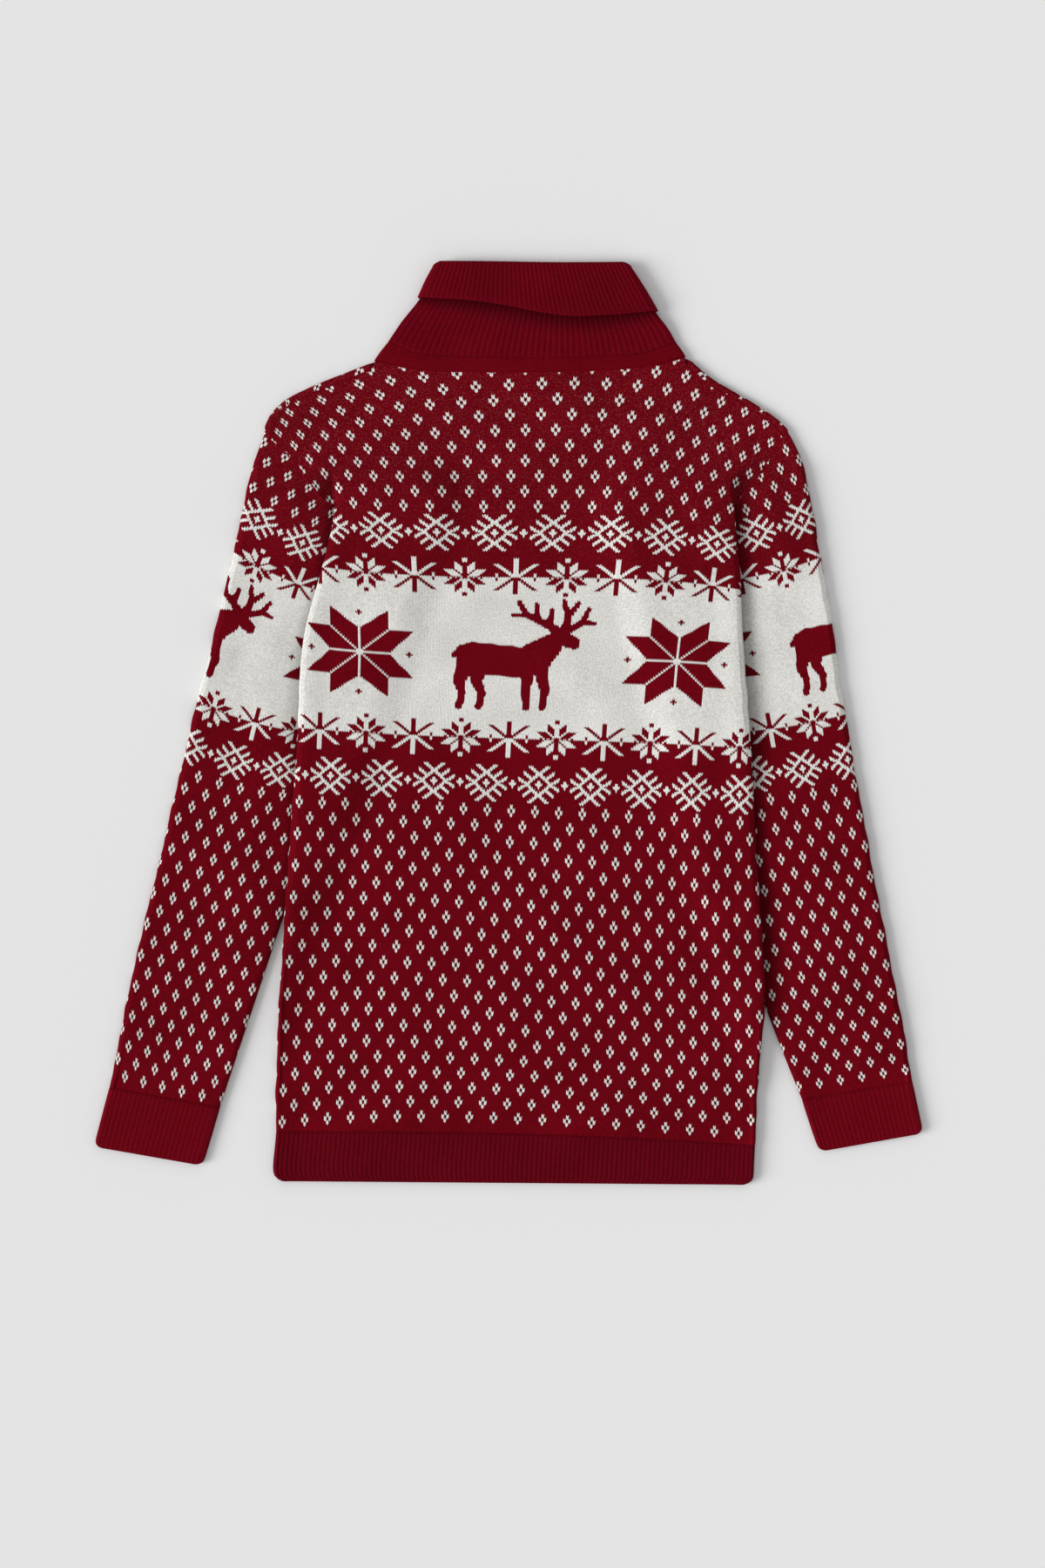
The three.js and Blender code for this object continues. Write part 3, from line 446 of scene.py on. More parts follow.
def panelPlan(u, row, setBack, neckDrop):
    if row["kind"] == "straight":
        y = row["at"] - sag(u, row["at"])
        shake = body["waver"] * step(60, 20, np.full_like(u, row["at"]))
        left = along(bodySides, "y", "left", y) - shake * waver(row["at"], 0.4)
        right = along(bodySides, "y", "right", y) + shake * waver(row["at"], 1.9)
        return mix(left, right, u) + 1j * y
    v = row["at"]
    reach = 1 - body["tipSlant"] * setBack / body["armhole"]
    low = mix(armhole("left", 0).real + 1.6, armhole("right", 0).real - 1.6, u) + 1j * body["underarmY"]
    high = topEdge(u, setBack, neckDrop)
    left = armholeEdge("left", v * reach)
    right = armholeEdge("right", v * reach)
    cornerLow = mix(armhole("left", 0).real, armhole("right", 0).real, u) + 1j * body["underarmY"]
    cornerHigh = mix(topEdge(np.array(0.0), setBack, neckDrop), topEdge(np.array(1.0), setBack, neckDrop), u)
    return mix(low, high, v) + mix(left, right, u) - mix(cornerLow, cornerHigh, v)


def panelLift(p, row):
    if row["kind"] == "straight" or row["at"] == 0:
        return lift(p)
    left = armhole("left", row["at"]).real
    right = armhole("right", row["at"]).real
    settled = step(body["foldTop"] - 4, body["foldTop"] + 14, p.imag)
    left = mix(body["leftFold"], left, settled)
    right = mix(body["rightFold"], right, settled)
    width = mix(4.5, 10, settled)
    reach = np.minimum(p.real - left, right - p.real)
    return lift(p) * step(0.3, width, reach)


panelColumns = np.concatenate([np.linspace(0, 0.192, 27), np.linspace(0.196, 0.804, 92),
                               np.linspace(0.808, 1, 27)])
arcSteps = np.radians([0, 18, 36, 54, 72, 90])
panelRows = ([{"kind": "straight", "at": y} for y in np.linspace(body["hemTop"] + 0.02, 181.4, 190)]
             + [{"kind": "yoke", "at": v} for v in np.concatenate([
                 np.linspace(0, 0.966, 36), [0.978, 0.986, 0.991, 0.9945, 0.9975, 1]])])


# one row of a panel's outer and inner points, unfolded places beside them
def panelRow(plan, columns, fold, heights, facing):
    inside = columns[1:-1]
    first, last = plan(np.array([0.0]))[0], plan(np.array([1.0]))[0]
    inLeft = unit(plan(np.array([0.04]))[0] - first)
    inRight = unit(plan(np.array([0.96]))[0] - last)
    wall, seam = cloth["wall"], cloth["seam"]
    parts = []
    for edge, inward, angles in ((first, inLeft, arcSteps), (last, inRight, arcSteps[::-1])):
        height, base = (float(x[0]) for x in heights(np.array([edge]), 0))
        across = mix(0.3, height / 2, fold)
        down = mix(0.25, height / 2 - seam / 6, fold)
        back = wall * fold
        flat, drop = 1 - np.cos(angles), 1 - np.sin(angles)
        radius = max(across - back, 0.3)
        fall = max(down - wall, 0.05) * fold * drop
        parts.append((edge + inward * across * flat, base + facing(height, down * drop),
                      edge + inward * (back + radius * flat), base + facing(height, wall + fall),
                      edge + inward * across * (1 - (math.pi / 2 - angles))))
    middle = plan(inside)
    height, base = heights(middle, 1)
    blend = mix(0.3, flatHeight / 2, fold)
    keep = np.minimum(np.abs(middle - first), np.abs(middle - last)) > blend + 0.8
    middle = np.where(keep, middle, np.where(inside < 0.5, first + inLeft * (blend + 0.8 + inside * 20),
                                             last + inRight * (blend + 0.8 + (1 - inside) * 20)))
    height, base = heights(middle, 1)
    parts.insert(1, (middle, base + facing(height, 0), middle, base + facing(height, wall), middle))
    outer, outerZ, inner, innerZ, open = (np.concatenate([part[k] for part in parts]) for k in range(5))
    return outer, outerZ, inner, innerZ, open


def fromTop(height, depth):
    return height - depth


def fromBottom(height, depth):
    return depth


def points3(plan, z):
    return np.stack([plan.real, plan.imag, z], axis=-1)


def foldOf(row):
    return 1.0 if row["kind"] == "straight" else float(1 - step(0, 0.03, row["at"]))


# painted shade: darker in the folds between each underarm and its seam
def underarmShade(p):
    left = (p.real < body["leftFold"]) * (1 - step(3, 24, body["leftFold"] - p.real)) * 0.5
    right = (p.real > body["rightFold"]) * (1 - step(3, 18, p.real - body["rightFold"])) * 0.4
    return (left + right) * step(body["foldTop"] + 16, body["foldTop"] - 8, p.imag) * (p.imag > body["underarmY"] - 1)


def backPanel():
    outer, inner, opened = [], [], []
    for row in panelRows:
        def heights(p, puffed):
            puff = bodyPuff(p) if row["at"] < 2 or row["kind"] == "straight" else 0
            return flatHeight + swell(p), panelLift(p, row) + puff
        plan = lambda u: panelPlan(u, row, body["shoulderWrap"], 0)
        o, oz, i, iz, flat = panelRow(plan, panelColumns, foldOf(row), heights, fromTop)
        if row["kind"] == "yoke":
            drop = lipDrop((1 - row["at"]) * 100, 0.8) * 0.8
            oz, iz = oz - drop, iz + 0.3 * drop
        outer.append(points3(o, oz))
        inner.append(points3(i, iz))
        opened.append(flat)
    c, v = stitchesAt(knitBody, np.array(opened), (13, -345))
    plan = np.array(outer)[..., 0] + 1j * np.array(outer)[..., 1]
    return sheetPiece("back_panel_knit", np.array(outer), np.array(inner), np.stack([c, v], -1),
                      shade=underarmShade(plan))


mirrorStitch = -8


def frontPanel():
    radius = flatHeight / 2
    outer, inner, opened = [], [], []
    for row in panelRows:
        def heights(p, puffed):
            return flatHeight + swell(p), panelLift(p, row) + 0.55 * bodyPuff(p)
        plan = lambda u: panelPlan(u, row, radius, body["neckDrop"])
        o, oz, i, iz, flat = panelRow(plan, panelColumns, foldOf(row), heights, fromBottom)
        outer.append(points3(o, oz))
        inner.append(points3(i, iz))
        opened.append(flat)
    columns = np.concatenate([np.full(6, panelColumns[0]), panelColumns[1:-1], np.full(6, panelColumns[-1])])
    strip = body["shoulderWrap"] - cloth["seam"] - radius
    share = body["shoulderShare"]
    at = np.clip(np.minimum(columns, 1 - columns) / share, 0, 1)
    inward = np.where(columns < 0.5, shoulderInward("left", at), shoulderInward("right", at))
    amount = np.clip((1 - at) / 0.02, 0, 1)
    topOuter, topInner, topOpen = outer[-1], inner[-1], opened[-1]
    stages = [(a, 0.0) for a in range(18, 181, 18)] + [(180, 0.45), (180, 0.75), (180, 0.9), (180, 1.0)]
    for k, (angle, ahead) in enumerate(stages):
        bend = np.radians(angle) * amount
        for sheet, top, depth in ((outer, topOuter, 0), (inner, topInner, cloth["wall"])):
            r = radius - depth
            moved = (top[:, 0] + 1j * top[:, 1]
                     + inward * (-r * np.sin(bend) + ahead * strip * amount) + 1j * (k + 1) * 0.02 * (1 - amount))
            lip = lipDrop((1 - ahead) * strip, 0.8) * (1 if depth == 0 else -0.3) if ahead > 0 else 0
            z = np.where(amount > 0, radius - r * np.cos(bend) - lip * amount, top[:, 2])
            sheet.append(points3(moved, mix(top[:, 2], z, np.minimum(amount * 1.0, 1))))
        opened.append(topOpen - inward * (radius * np.radians(angle) + ahead * strip) * amount)
    c, v = stitchesAt(knitBody, np.array(opened), (13, -345))
    uv = np.stack([mirrorStitch - c, v], -1)
    return sheetPiece("front_panel_knit", np.array(outer), np.array(inner), uv)


# --- ribs at the hem


# rib numbers across one layer: round one fold, over the middle columns and round the other fold
def ribNumbers(columns, ribs, width):
    radius = flatHeight / 2
    near = radius + 0.8
    pitch = width / ribs
    inside = columns[1:-1]
    fromStart, fromEnd = inside * width, (1 - inside) * width
    fromStart = np.where(fromStart < near, near + inside * 20, fromStart)
    fromEnd = np.where(fromEnd < near, near + (1 - inside) * 20, fromEnd)
    placed = np.where(inside < 0.5, fromStart, width - fromEnd) / pitch
    return radius / pitch, placed, math.pi / 2 * radius / pitch


hem = {"ribs": 102, "perRib": 6, "corner": 8, "lip": 1.15, "relief": 0.5}


def hemRib(name, facing, mirrored):
    columns = np.linspace(0, 1, hem["ribs"] * hem["perRib"] + 1)
    outer, inner, opened, reach = [], [], [], []
    downs = np.concatenate([np.linspace(0, 0.955, 15), [0.968, 0.98, 0.989, 0.995, 1]])
    for down in downs:
        def plan(u):
            bottom = body["hemBottom"] - body["hemTilt"] * (u - 0.5)
            y = mix(body["hemTop"] - 0.02 - sag(u, body["hemTop"]), bottom, down)
            pull = hem["corner"] * down ** 14
            left = along(bodySides, "y", "left", y) + pull
            right = along(bodySides, "y", "right", y) - pull
            return mix(left, right, u) + 1j * y

        def heights(p, puffed):
            puff = bodyPuff(p) * (1 - 0.6 * down)
            return flatHeight + swell(p), puff if facing is fromTop else 0.55 * puff

        o, oz, i, iz, flat = panelRow(plan, columns, 1.0, heights, facing)
        lip = lipDrop((1 - down) * 44, hem["lip"]) * (1 if facing is fromTop else -1)
        outer.append(points3(o, oz - lip))
        inner.append(points3(i, iz + lip * 0.95))
        opened.append(flat)
        reach.append(np.full(len(o), min(1, down * 12) * min(1, (1 - down) * 14)))
    edge, placed, quarter = ribNumbers(columns, hem["ribs"], 404)
    width = np.concatenate([np.linspace(edge - quarter, edge, 6), placed,
                            hem["ribs"] - edge + np.linspace(0, quarter, 6)])
    across = np.tile(width, (len(downs), 1))
    rows = np.tile(-downs[:, None] * 27, (1, len(width)))
    reach = np.array(reach)
    uv = np.stack([across * 2 * (-1 if mirrored else 1), rows], -1)
    return sheetPiece(name, np.array(outer), np.array(inner), uv, across, reach)


# --- sleeves and cuffs as flattened tubes


def flatRing(section, depth, columns):
    start, end = section["plan"](np.array([0.0]))[0], section["plan"](np.array([1.0]))[0]
    inStart = unit(section["plan"](np.array([0.05]))[0] - start)
    inEnd = unit(section["plan"](np.array([0.95]))[0] - end)
    r0, r1 = section["height"](np.array([0.0]))[0] / 2, section["height"](np.array([1.0]))[0] / 2
    inside = columns[1:-1]
    middle = section["plan"](inside)
    farFromStart = np.abs(middle - start) > r0 + 0.8
    farFromEnd = np.abs(middle - end) > r1 + 0.8
    middle = np.where(farFromStart, middle, start + inStart * (r0 + 0.8 + inside * 20))
    middle = np.where(farFromEnd, middle, end + inEnd * (r1 + 0.8 + (1 - inside) * 20))
    top = section["height"](inside) + section["rise"](middle)
    under = section["under"](middle)
    lip = section["lip"]
    d = depth + (lip if depth == 0 else -lip * 0.95)
    corner = section.get("corner", lambda inward: 0)
    q1, q0 = r1 - d, r0 - d
    lift0, lift1 = section["under"](np.array([start]))[0], section["under"](np.array([end]))[0]

    def arcPart(edge, inward, r, q, angles, base):
        return (edge + inward * (r - q * np.cos(angles)) + corner(r - q * np.cos(angles)),
                base + r + q * np.sin(angles),
                edge + inward * (r - r * (math.pi / 2 - np.abs(angles))))

    # starts at the inner fold's middle, over the top to the outer fold, and back beneath
    a = arcPart(end, inEnd, r1, q1, np.linspace(0, math.pi / 2, 5), lift1)
    flat = middle + corner(np.minimum(np.abs(middle - start), np.abs(middle - end)))
    b = (flat[::-1], (top - d)[::-1], middle[::-1])
    c = arcPart(start, inStart, r0, q0, np.linspace(math.pi / 2, -math.pi / 2, 9), lift0)
    e = (flat, under + d, middle)
    f = arcPart(end, inEnd, r1, q1, np.linspace(-math.pi / 2, 0, 5)[:-1], lift1)
    plan, z, opened = (np.concatenate([part[k] for part in (a, b, c, e, f)]) for k in range(3))
    split = len(a[0]) + len(b[0]) + 4
    return points3(plan, z), opened, split


def tubePiece(name, sections, columns, coordinates, ribs=None):
    outer, opened = [], []
    for section in sections:
        ring, flat, split = flatRing(section, 0, columns)
        outer.append(ring)
        opened.append(np.append(flat, flat[0]))
    inner = [flatRing(section, cloth["wall"], columns)[0] for section in sections]
    uv = coordinates(np.array(opened), split)
    rings = np.array(outer + inner[::-1])
    uvAll = np.concatenate([uv, uv[::-1], uv[:1]])
    if ribs is None:
        side = name.split("_")[0]
        return ringPiece(name, rings, uvAll, shade=sleeveShade(side, rings[..., 0] + 1j * rings[..., 1]))
    across, reach = ribs
    n = rings.shape[1]
    acrossAll = np.tile(across[:n], (len(rings), 1))
    reachAll = np.concatenate([np.tile(reach[:, None], (1, n)), np.zeros((len(inner), n))])
    return ringPiece(name, rings, uvAll, acrossAll, reachAll)


def sleeveHead(side, u):
    seen = 0.56
    away = -0.7 - 0.7j if side == "left" else 0.8 - 0.6j
    ends = sleeveEnds[side]
    free = armhole(side, np.clip(1 - u / seen, 0, 1)) + away * cloth["armSeam"] / 2
    start = armhole(side, 0) + away * cloth["armSeam"] / 2
    inner = along(sleeveEdges, "at", side + "Inner", 0)
    t = np.clip((u - seen) / (1 - seen), 0, 1)
    hidden = (mix(start.real, inner, t)
              + 1j * (mix(start.imag, ends["innerTop"], t) - ends["bulge"] * np.sin(math.pi * t) * (1 - t)))
    return np.where(u <= seen, free, hidden)


def sleeveSwell(u, at):
    return body["swell"] * (1 - ease(u / 0.22)) * step(0, 0.12, at) * mix(1, 0.4, at)


sleeves = {"columns": 46, "rows": 182, "waver": 0.55}


def sleevePuff(side, p):
    sideX = along(bodySides, "y", side, np.minimum(p.imag, 184))
    out = -1 if side == "left" else 1
    clear = step(2, 32, (p.real - sideX) * out)
    fadeTop = step(0, 26, (armhole(side, 0.5).imag + 26 - p.imag))
    return np.maximum(1.8 + 0.8 * creaseHeight(side, p), 0) * clear * fadeTop


# painted shade: darker where a sleeve goes in under the body
def sleeveShade(side, p):
    sideX = along(bodySides, "y", side, np.minimum(p.imag, 184))
    away = (p.real - sideX) * (-1 if side == "left" else 1)
    wide, deep = (15, 0.42) if side == "left" else (24, 0.46)
    deep = deep + (0.28 if side == "left" else 0.1) * bell((p.imag - 168) / 34)
    wide = wide + 6 * bell((p.imag - 168) / 34)
    return deep * (1 - step(-2, wide * (0.8 + 0.3 * np.sin(p.imag / 37 + 1)), away)) * step(214, 186, p.imag)


def sleeve(side):
    ends = sleeveEnds[side]
    out = -1 if side == "left" else 1
    seed = 0.8 if side == "left" else 2.6
    head0, head1 = sleeveHead(side, np.array(0.0)), sleeveHead(side, np.array(1.0))

    def section(at):
        outerY = mix(ends["outerTop"], ends["outerEnd"], at)
        shake = sleeves["waver"] * step(0.02, 0.1, at) * step(1, 0.97, at)
        outer = along(sleeveEdges, "at", side + "Outer", at) + out * shake * waver(outerY, seed) + 1j * outerY
        inner = (along(sleeveEdges, "at", side + "Inner", at)
                 + 1j * mix(ends["innerTop"], ends["innerEnd"], at))
        fade = (1 - at) ** 3

        def plan(u):
            return mix(outer, inner, u) + fade * (sleeveHead(side, u) - mix(head0, head1, u))
        settle = float(step(0, 0.05, at)) * (0.4 + 0.6 * float(step(1, 0.94, at)))
        return {"plan": plan, "height": lambda u: flatHeight + sleeveSwell(u, at),
                "rise": lambda p: sleevePuff(side, p) * settle,
                "under": lambda p: sleevePuff(side, p) * settle * 0.4,
                "lip": float(lipDrop(at * 560, 0.25))}

    ats = np.concatenate([[0, 0.0004, 0.0009, 0.0015], np.linspace(0.0045, 1 - 0.00004, sleeves["rows"])])
    lattice = knitLeft if side == "left" else knitRight
    guess = (-303, -317) if side == "left" else (292, -310)

    def coordinates(opened, split):
        c, v = stitchesAt(lattice, opened, guess)
        fold = c[:, split:split + 1]
        c[:, split:] = 2 * fold - c[:, split:]
        return np.stack([c, v], -1)

    return tubePiece(f"{side}_sleeve_knit", [section(at) for at in ats], np.linspace(0, 1, sleeves["columns"]),
                     coordinates)


cuffRib = {"ribs": 23, "perRib": 6, "corner": 8, "lip": 1.15, "relief": 0.4}


def cornerRise(distance, size):
    inside = np.clip(1 - distance / size, 0, 1)
    return size * 0.72 * (1 - np.sqrt(1 - inside ** 2))


def cuff(side):
    corners = cuffs[side]
    upward = unit(corners["outer"] - corners["outerEnd"])
    downs = np.concatenate([np.linspace(0.0006, 0.955, 16), [0.968, 0.979, 0.988, 0.995, 1]])

    def section(down):
        outer = mix(corners["outer"], corners["outerEnd"], down)
        inner = mix(corners["inner"], corners["innerEnd"], down)

        def plan(u):
            return mix(outer, inner, u)

        def corner(inward):
            return upward * down ** 3 * cornerRise(inward, cuffRib["corner"])
        settle = 0.4 * (1 - 0.7 * down)
        return {"plan": plan, "corner": corner, "height": lambda u: flatHeight + sleeveSwell(u, 1),
                "rise": lambda p: sleevePuff(side, p) * settle,
                "under": lambda p: sleevePuff(side, p) * settle * 0.4,
                "lip": float(lipDrop((1 - down) * 52, cuffRib["lip"]))}

    columns = np.linspace(0, 1, cuffRib["ribs"] * cuffRib["perRib"] + 1)
    ribs = cuffRib["ribs"]
    edge, placed, quarter = ribNumbers(columns, ribs, abs(corners["outer"] - corners["inner"]))
    beneath = 2 * edge - 2 * quarter
    last = beneath - ribs + edge - quarter
    across = np.concatenate([ribs - edge + np.linspace(quarter, 0, 5), placed[::-1],
                             np.linspace(edge, edge - 2 * quarter, 9), beneath - placed,
                             np.linspace(last + quarter, last, 5)[:-1]])
    reach = np.minimum(1, downs * 14) * np.minimum(1, (1 - downs) * 14)

    def coordinates(opened, split):
        wide = np.append(across, last)
        return np.stack([np.tile(wide * 2, (len(downs), 1)), np.tile(-downs[:, None] * 31, (1, len(wide)))], -1)

    return tubePiece(f"{side}_cuff_rib", [section(d) for d in downs], columns, coordinates, (across, reach))


# --- collar and neck band


standHalf = flatHeight / 2
turnedHalf = 2 * cloth["wall"] + cloth["gap"]
collar = {"ribs": 46, "perRib": 6, "top": 390.4, "relief": 0.52, "flare": 3.2, "tuck": 0.5, "corner": 8}


def neckLevel(level, at, onFront):
    low = along(collarLines, "at", "ribEnd", at)
    free = along(collarLines, "at", "freeEdge", at)
    drop = body["neckDrop"] * frontDip(at) if onFront else 0
    if level <= 0:
        return mix(low, along(collarLines, "at", "seam", at), -level) - drop
    if level <= 1:
        return mix(low - drop, free, level)
    return mix(free, collar["top"], level - 1)


def neckSides(level):
    if level <= 0:
        a, b, share = "ribEnd", "seam", -level
    elif level <= 1:
        a, b, share = "ribEnd", "freeEdge", level
    else:
        a, b, share = "freeEdge", "fold", level - 1
    return [mix(collarSides[a][k], collarSides[b][k], share) for k in (0, 1)]


def neckMiddle(level, at, onFront):
    y = neckLevel(level, at, onFront)
    low = along(collarLines, "at", "ribEnd", at)
    free = along(collarLines, "at", "freeEdge", at)
    return mix(standHalf, turnedHalf, step(low, free - 1, y))


def neckRing(level, half, columns, onward=0.0, flare=0.0):
    sideLeft, sideRight = neckSides(level)
    reach = mix(standHalf, turnedHalf, float(step(0.35, 1, level)))
    left, right = sideLeft + reach, sideRight - reach
    arc = np.radians([72, 54, 36, 18, 0, -18, -36, -54, -72])
    width = abs(sideRight - sideLeft)
    share = max(level - 1, 0) ** 3

    def rounded(inward):
        return share * collar["corner"] * (1 - np.sqrt(1 - np.clip(1 - inward / collar["corner"], 0, 1) ** 2))

    def ring(x, at, z, inward, onFront):
        return x, neckLevel(level, at, onFront) + onward - rounded(inward), z
    back = columns[::-1]
    top = ring(mix(left, right, columns), columns,
               neckMiddle(level, columns, False) + half + flare * np.sin(math.pi * columns) ** 0.6,
               half + np.minimum(columns, 1 - columns) * width, False)
    turn1 = ring(right + half * np.cos(arc), 1 + 0 * arc, neckMiddle(level, 1 + 0 * arc, False) + half * np.sin(arc),
                 half * (1 - np.cos(arc)), False)
    under = ring(mix(left, right, back), back, neckMiddle(level, back, True) - half,
                 half + np.minimum(back, 1 - back) * width, True)
    turn0 = ring(left - half * np.cos(arc), 0 * arc, neckMiddle(level, 0 * arc, False) + half * np.sin(arc[::-1]),
                 half * (1 - np.cos(arc)), False)
    x, y, z = (np.concatenate([part[k] for part in (top, turn1, under, turn0)]) for k in range(3))
    return np.stack([x, y, z], -1)


def neckAcross(columns, ribs):
    return np.concatenate([columns * ribs, ribs + np.linspace(0.2, 1.8, 9), ribs + 2 + (1 - columns[::-1]) * ribs,
                           2 * ribs + 2 + np.linspace(0.2, 1.8, 9)])


def pathRows(rings, pitch):
    middle = rings[:, rings.shape[1] // 5]
    steps = np.linalg.norm(np.diff(middle, axis=0), axis=1)
    return np.concatenate([[0], np.cumsum(steps)]) / pitch


def neckBand():
    columns = np.linspace(0, 1, 130)
    down = np.array([0, 0.04, 0.1, 0.2, 0.35, 0.5, 0.65, 0.8, 0.9, 0.96, 1])
    lips = lipDrop((1 - down) * 12, 0.9) * 0.6 + lipDrop(down * 12, 0.7) * 0.12 - 0.45 * np.sin(math.pi * down)
    levels = -mix(0.002, 1, down)
    outer = [neckRing(level, standHalf - lip, columns) for level, lip in zip(levels, lips)]
    inner = [neckRing(level, standHalf - cloth["wall"], columns) for level in levels]
    rings = np.array(outer + inner[::-1])
    rings[..., 2] = np.maximum(rings[..., 2], 0.02)
    stitch = np.append(neckAcross(columns, 62), 128) * 2
    rows = np.append(pathRows(rings, 1.7), 18)
    uv = np.stack(np.meshgrid(stitch, -rows), -1)
    return ringPiece("neck_band_knit", rings, uv)


def collarPiece():
    turnedInner = turnedHalf - cloth["wall"]
    foldMiddle = (standHalf + turnedInner) / 2
    foldRadius = turnedHalf - foldMiddle
    foldLevel = 2 - foldRadius / 36
    columns = np.linspace(0, 1, collar["ribs"] * collar["perRib"] + 1)
    flare = collar["flare"]
    rings, reach = [], []

    def put(level, half, rib=0.0, onward=0.0, away=0.0):
        rings.append(neckRing(level, half, columns, onward, away))
        reach.append(rib)

    for level in np.linspace(0.001, 1, 17):
        put(level, standHalf, min(1, level * 9))
    for level in (1.2, 1.5, 1.75, foldLevel):
        put(level, standHalf)
    put(foldLevel, foldMiddle, 0, 0.2)
    for level in (foldLevel, 1.75, 1.5, 1.2, 1.04):
        put(level, turnedInner, 0, 0, flare * float(ease((1.6 - level) / 0.6)))
    edge = (turnedInner + turnedHalf) / 2
    for angle in (-60, -30, 0, 30, 60):
        put(1.03, edge + 1.2 * math.sin(math.radians(angle)), 0,
            -1.2 * math.cos(math.radians(angle)), flare * float(ease((1.6 - 1.03) / 0.6)))
    for level in np.linspace(1.04, foldLevel, 11):
        put(level, turnedHalf, min(1, (level - 1.03) * 12), 0, flare * float(ease((1.6 - level) / 0.6)))
    for angle in range(15, 181, 15):
        half = foldMiddle + foldRadius * math.cos(math.radians(angle))
        put(foldLevel, half, max(0, 1 - angle / 120), foldRadius * math.sin(math.radians(angle)))
    for level in np.linspace(foldLevel, 0.001, 13)[1:]:
        put(level, standHalf - cloth["wall"])
    rings = np.array(rings)
    across = neckAcross(columns, collar["ribs"])
    stitch = np.append(across, 2 * collar["ribs"] + 4) * 2
    rows = np.append(pathRows(rings, 1.7), 0)
    rows[-1] = rows[-2] + 1.4
    uv = np.stack(np.meshgrid(stitch, rows), -1)
    n = rings.shape[1]
    x, y = rings[..., 0], rings[..., 1]
    at = np.clip((x - collarSides["freeEdge"][0]) / (collarSides["freeEdge"][1] - collarSides["freeEdge"][0]), 0, 1)
    below = along(collarLines, "at", "freeEdge", at) - y
    # painted shadow on the stand below the turned-down part's free edge
    tucked = np.zeros(rings.shape[:2])
    tucked[:21] = 1
    shade = tucked * collar["tuck"] * (1 - step(-1, 9 + 8 * np.sin(math.pi * at), below)) ** 0.8
    return ringPiece("collar_rib", rings, uv, np.tile(across, (len(rings), 1)),
                     np.tile(np.array(reach)[:, None], (1, n)), shade)


# --- finishes


class Wire:  # a shader socket that can be added, scaled and compared
    def __init__(self, tree, socket=None):
        self.tree = tree
        self.socket = socket

    def node(self, kind, settings=None, sockets=None, out=0):
        made = self.tree.nodes.new(kind)
        for name, value in (settings or {}).items():
            if name == "stops":
                ramp = made.color_ramp.elements
                while len(ramp) < len(value):
                    ramp.new(0.5)
                for stop, (place, colour) in zip(ramp, value):
                    stop.position = place
                    stop.color = colour
            else:
                setattr(made, name, value)
        for name, value in (sockets or {}).items():
            if isinstance(value, Wire):
                self.tree.links.new(value.socket, made.inputs[name])
            else:
                made.inputs[name].default_value = value
        return Wire(self.tree, made.outputs[out])

    def sum(self, operation, first, second):
        return self.node("ShaderNodeMath", {"operation": operation}, {0: first, 1: second})

    def __add__(self, other):
        return self.sum("ADD", self, other)

    def __radd__(self, other):
        return self.sum("ADD", other, self)

    def __sub__(self, other):
        return self.sum("SUBTRACT", self, other)

    def __rsub__(self, other):
        return self.sum("SUBTRACT", other, self)

    def __mul__(self, other):
        return self.sum("MULTIPLY", self, other)

    def __rmul__(self, other):
        return self.sum("MULTIPLY", other, self)

    def __truediv__(self, other):
        return self.sum("DIVIDE", self, other)

    def __rtruediv__(self, other):
        return self.sum("DIVIDE", other, self)

    def __mod__(self, other):
        return self.sum("FLOORED_MODULO", self, other)

    def __rmod__(self, other):
        return self.sum("FLOORED_MODULO", other, self)

    def __lt__(self, other):
        return self.sum("LESS_THAN", self, other)

    def __gt__(self, other):
        return self.sum("GREATER_THAN", self, other)


def size(w):
    return w.node("ShaderNodeMath", {"operation": "ABSOLUTE"}, {0: w})


def whole(w):
    return w.node("ShaderNodeMath", {"operation": "FLOOR"}, {0: w})


def least(a, b):
    return a.sum("MINIMUM", a, b)


def most(a, b):
    return a.sum("MAXIMUM", a, b)


def anyOf(*masks):
    joined = masks[0]
    for mask in masks[1:]:
        joined = most(joined, mask)
    return joined


def linear(red, green, blue):
    return tuple(((v / 255 + 0.055) / 1.055) ** 2.4 if v > 10 else v / 255 / 12.92
                 for v in (red, green, blue)) + (1.0,)


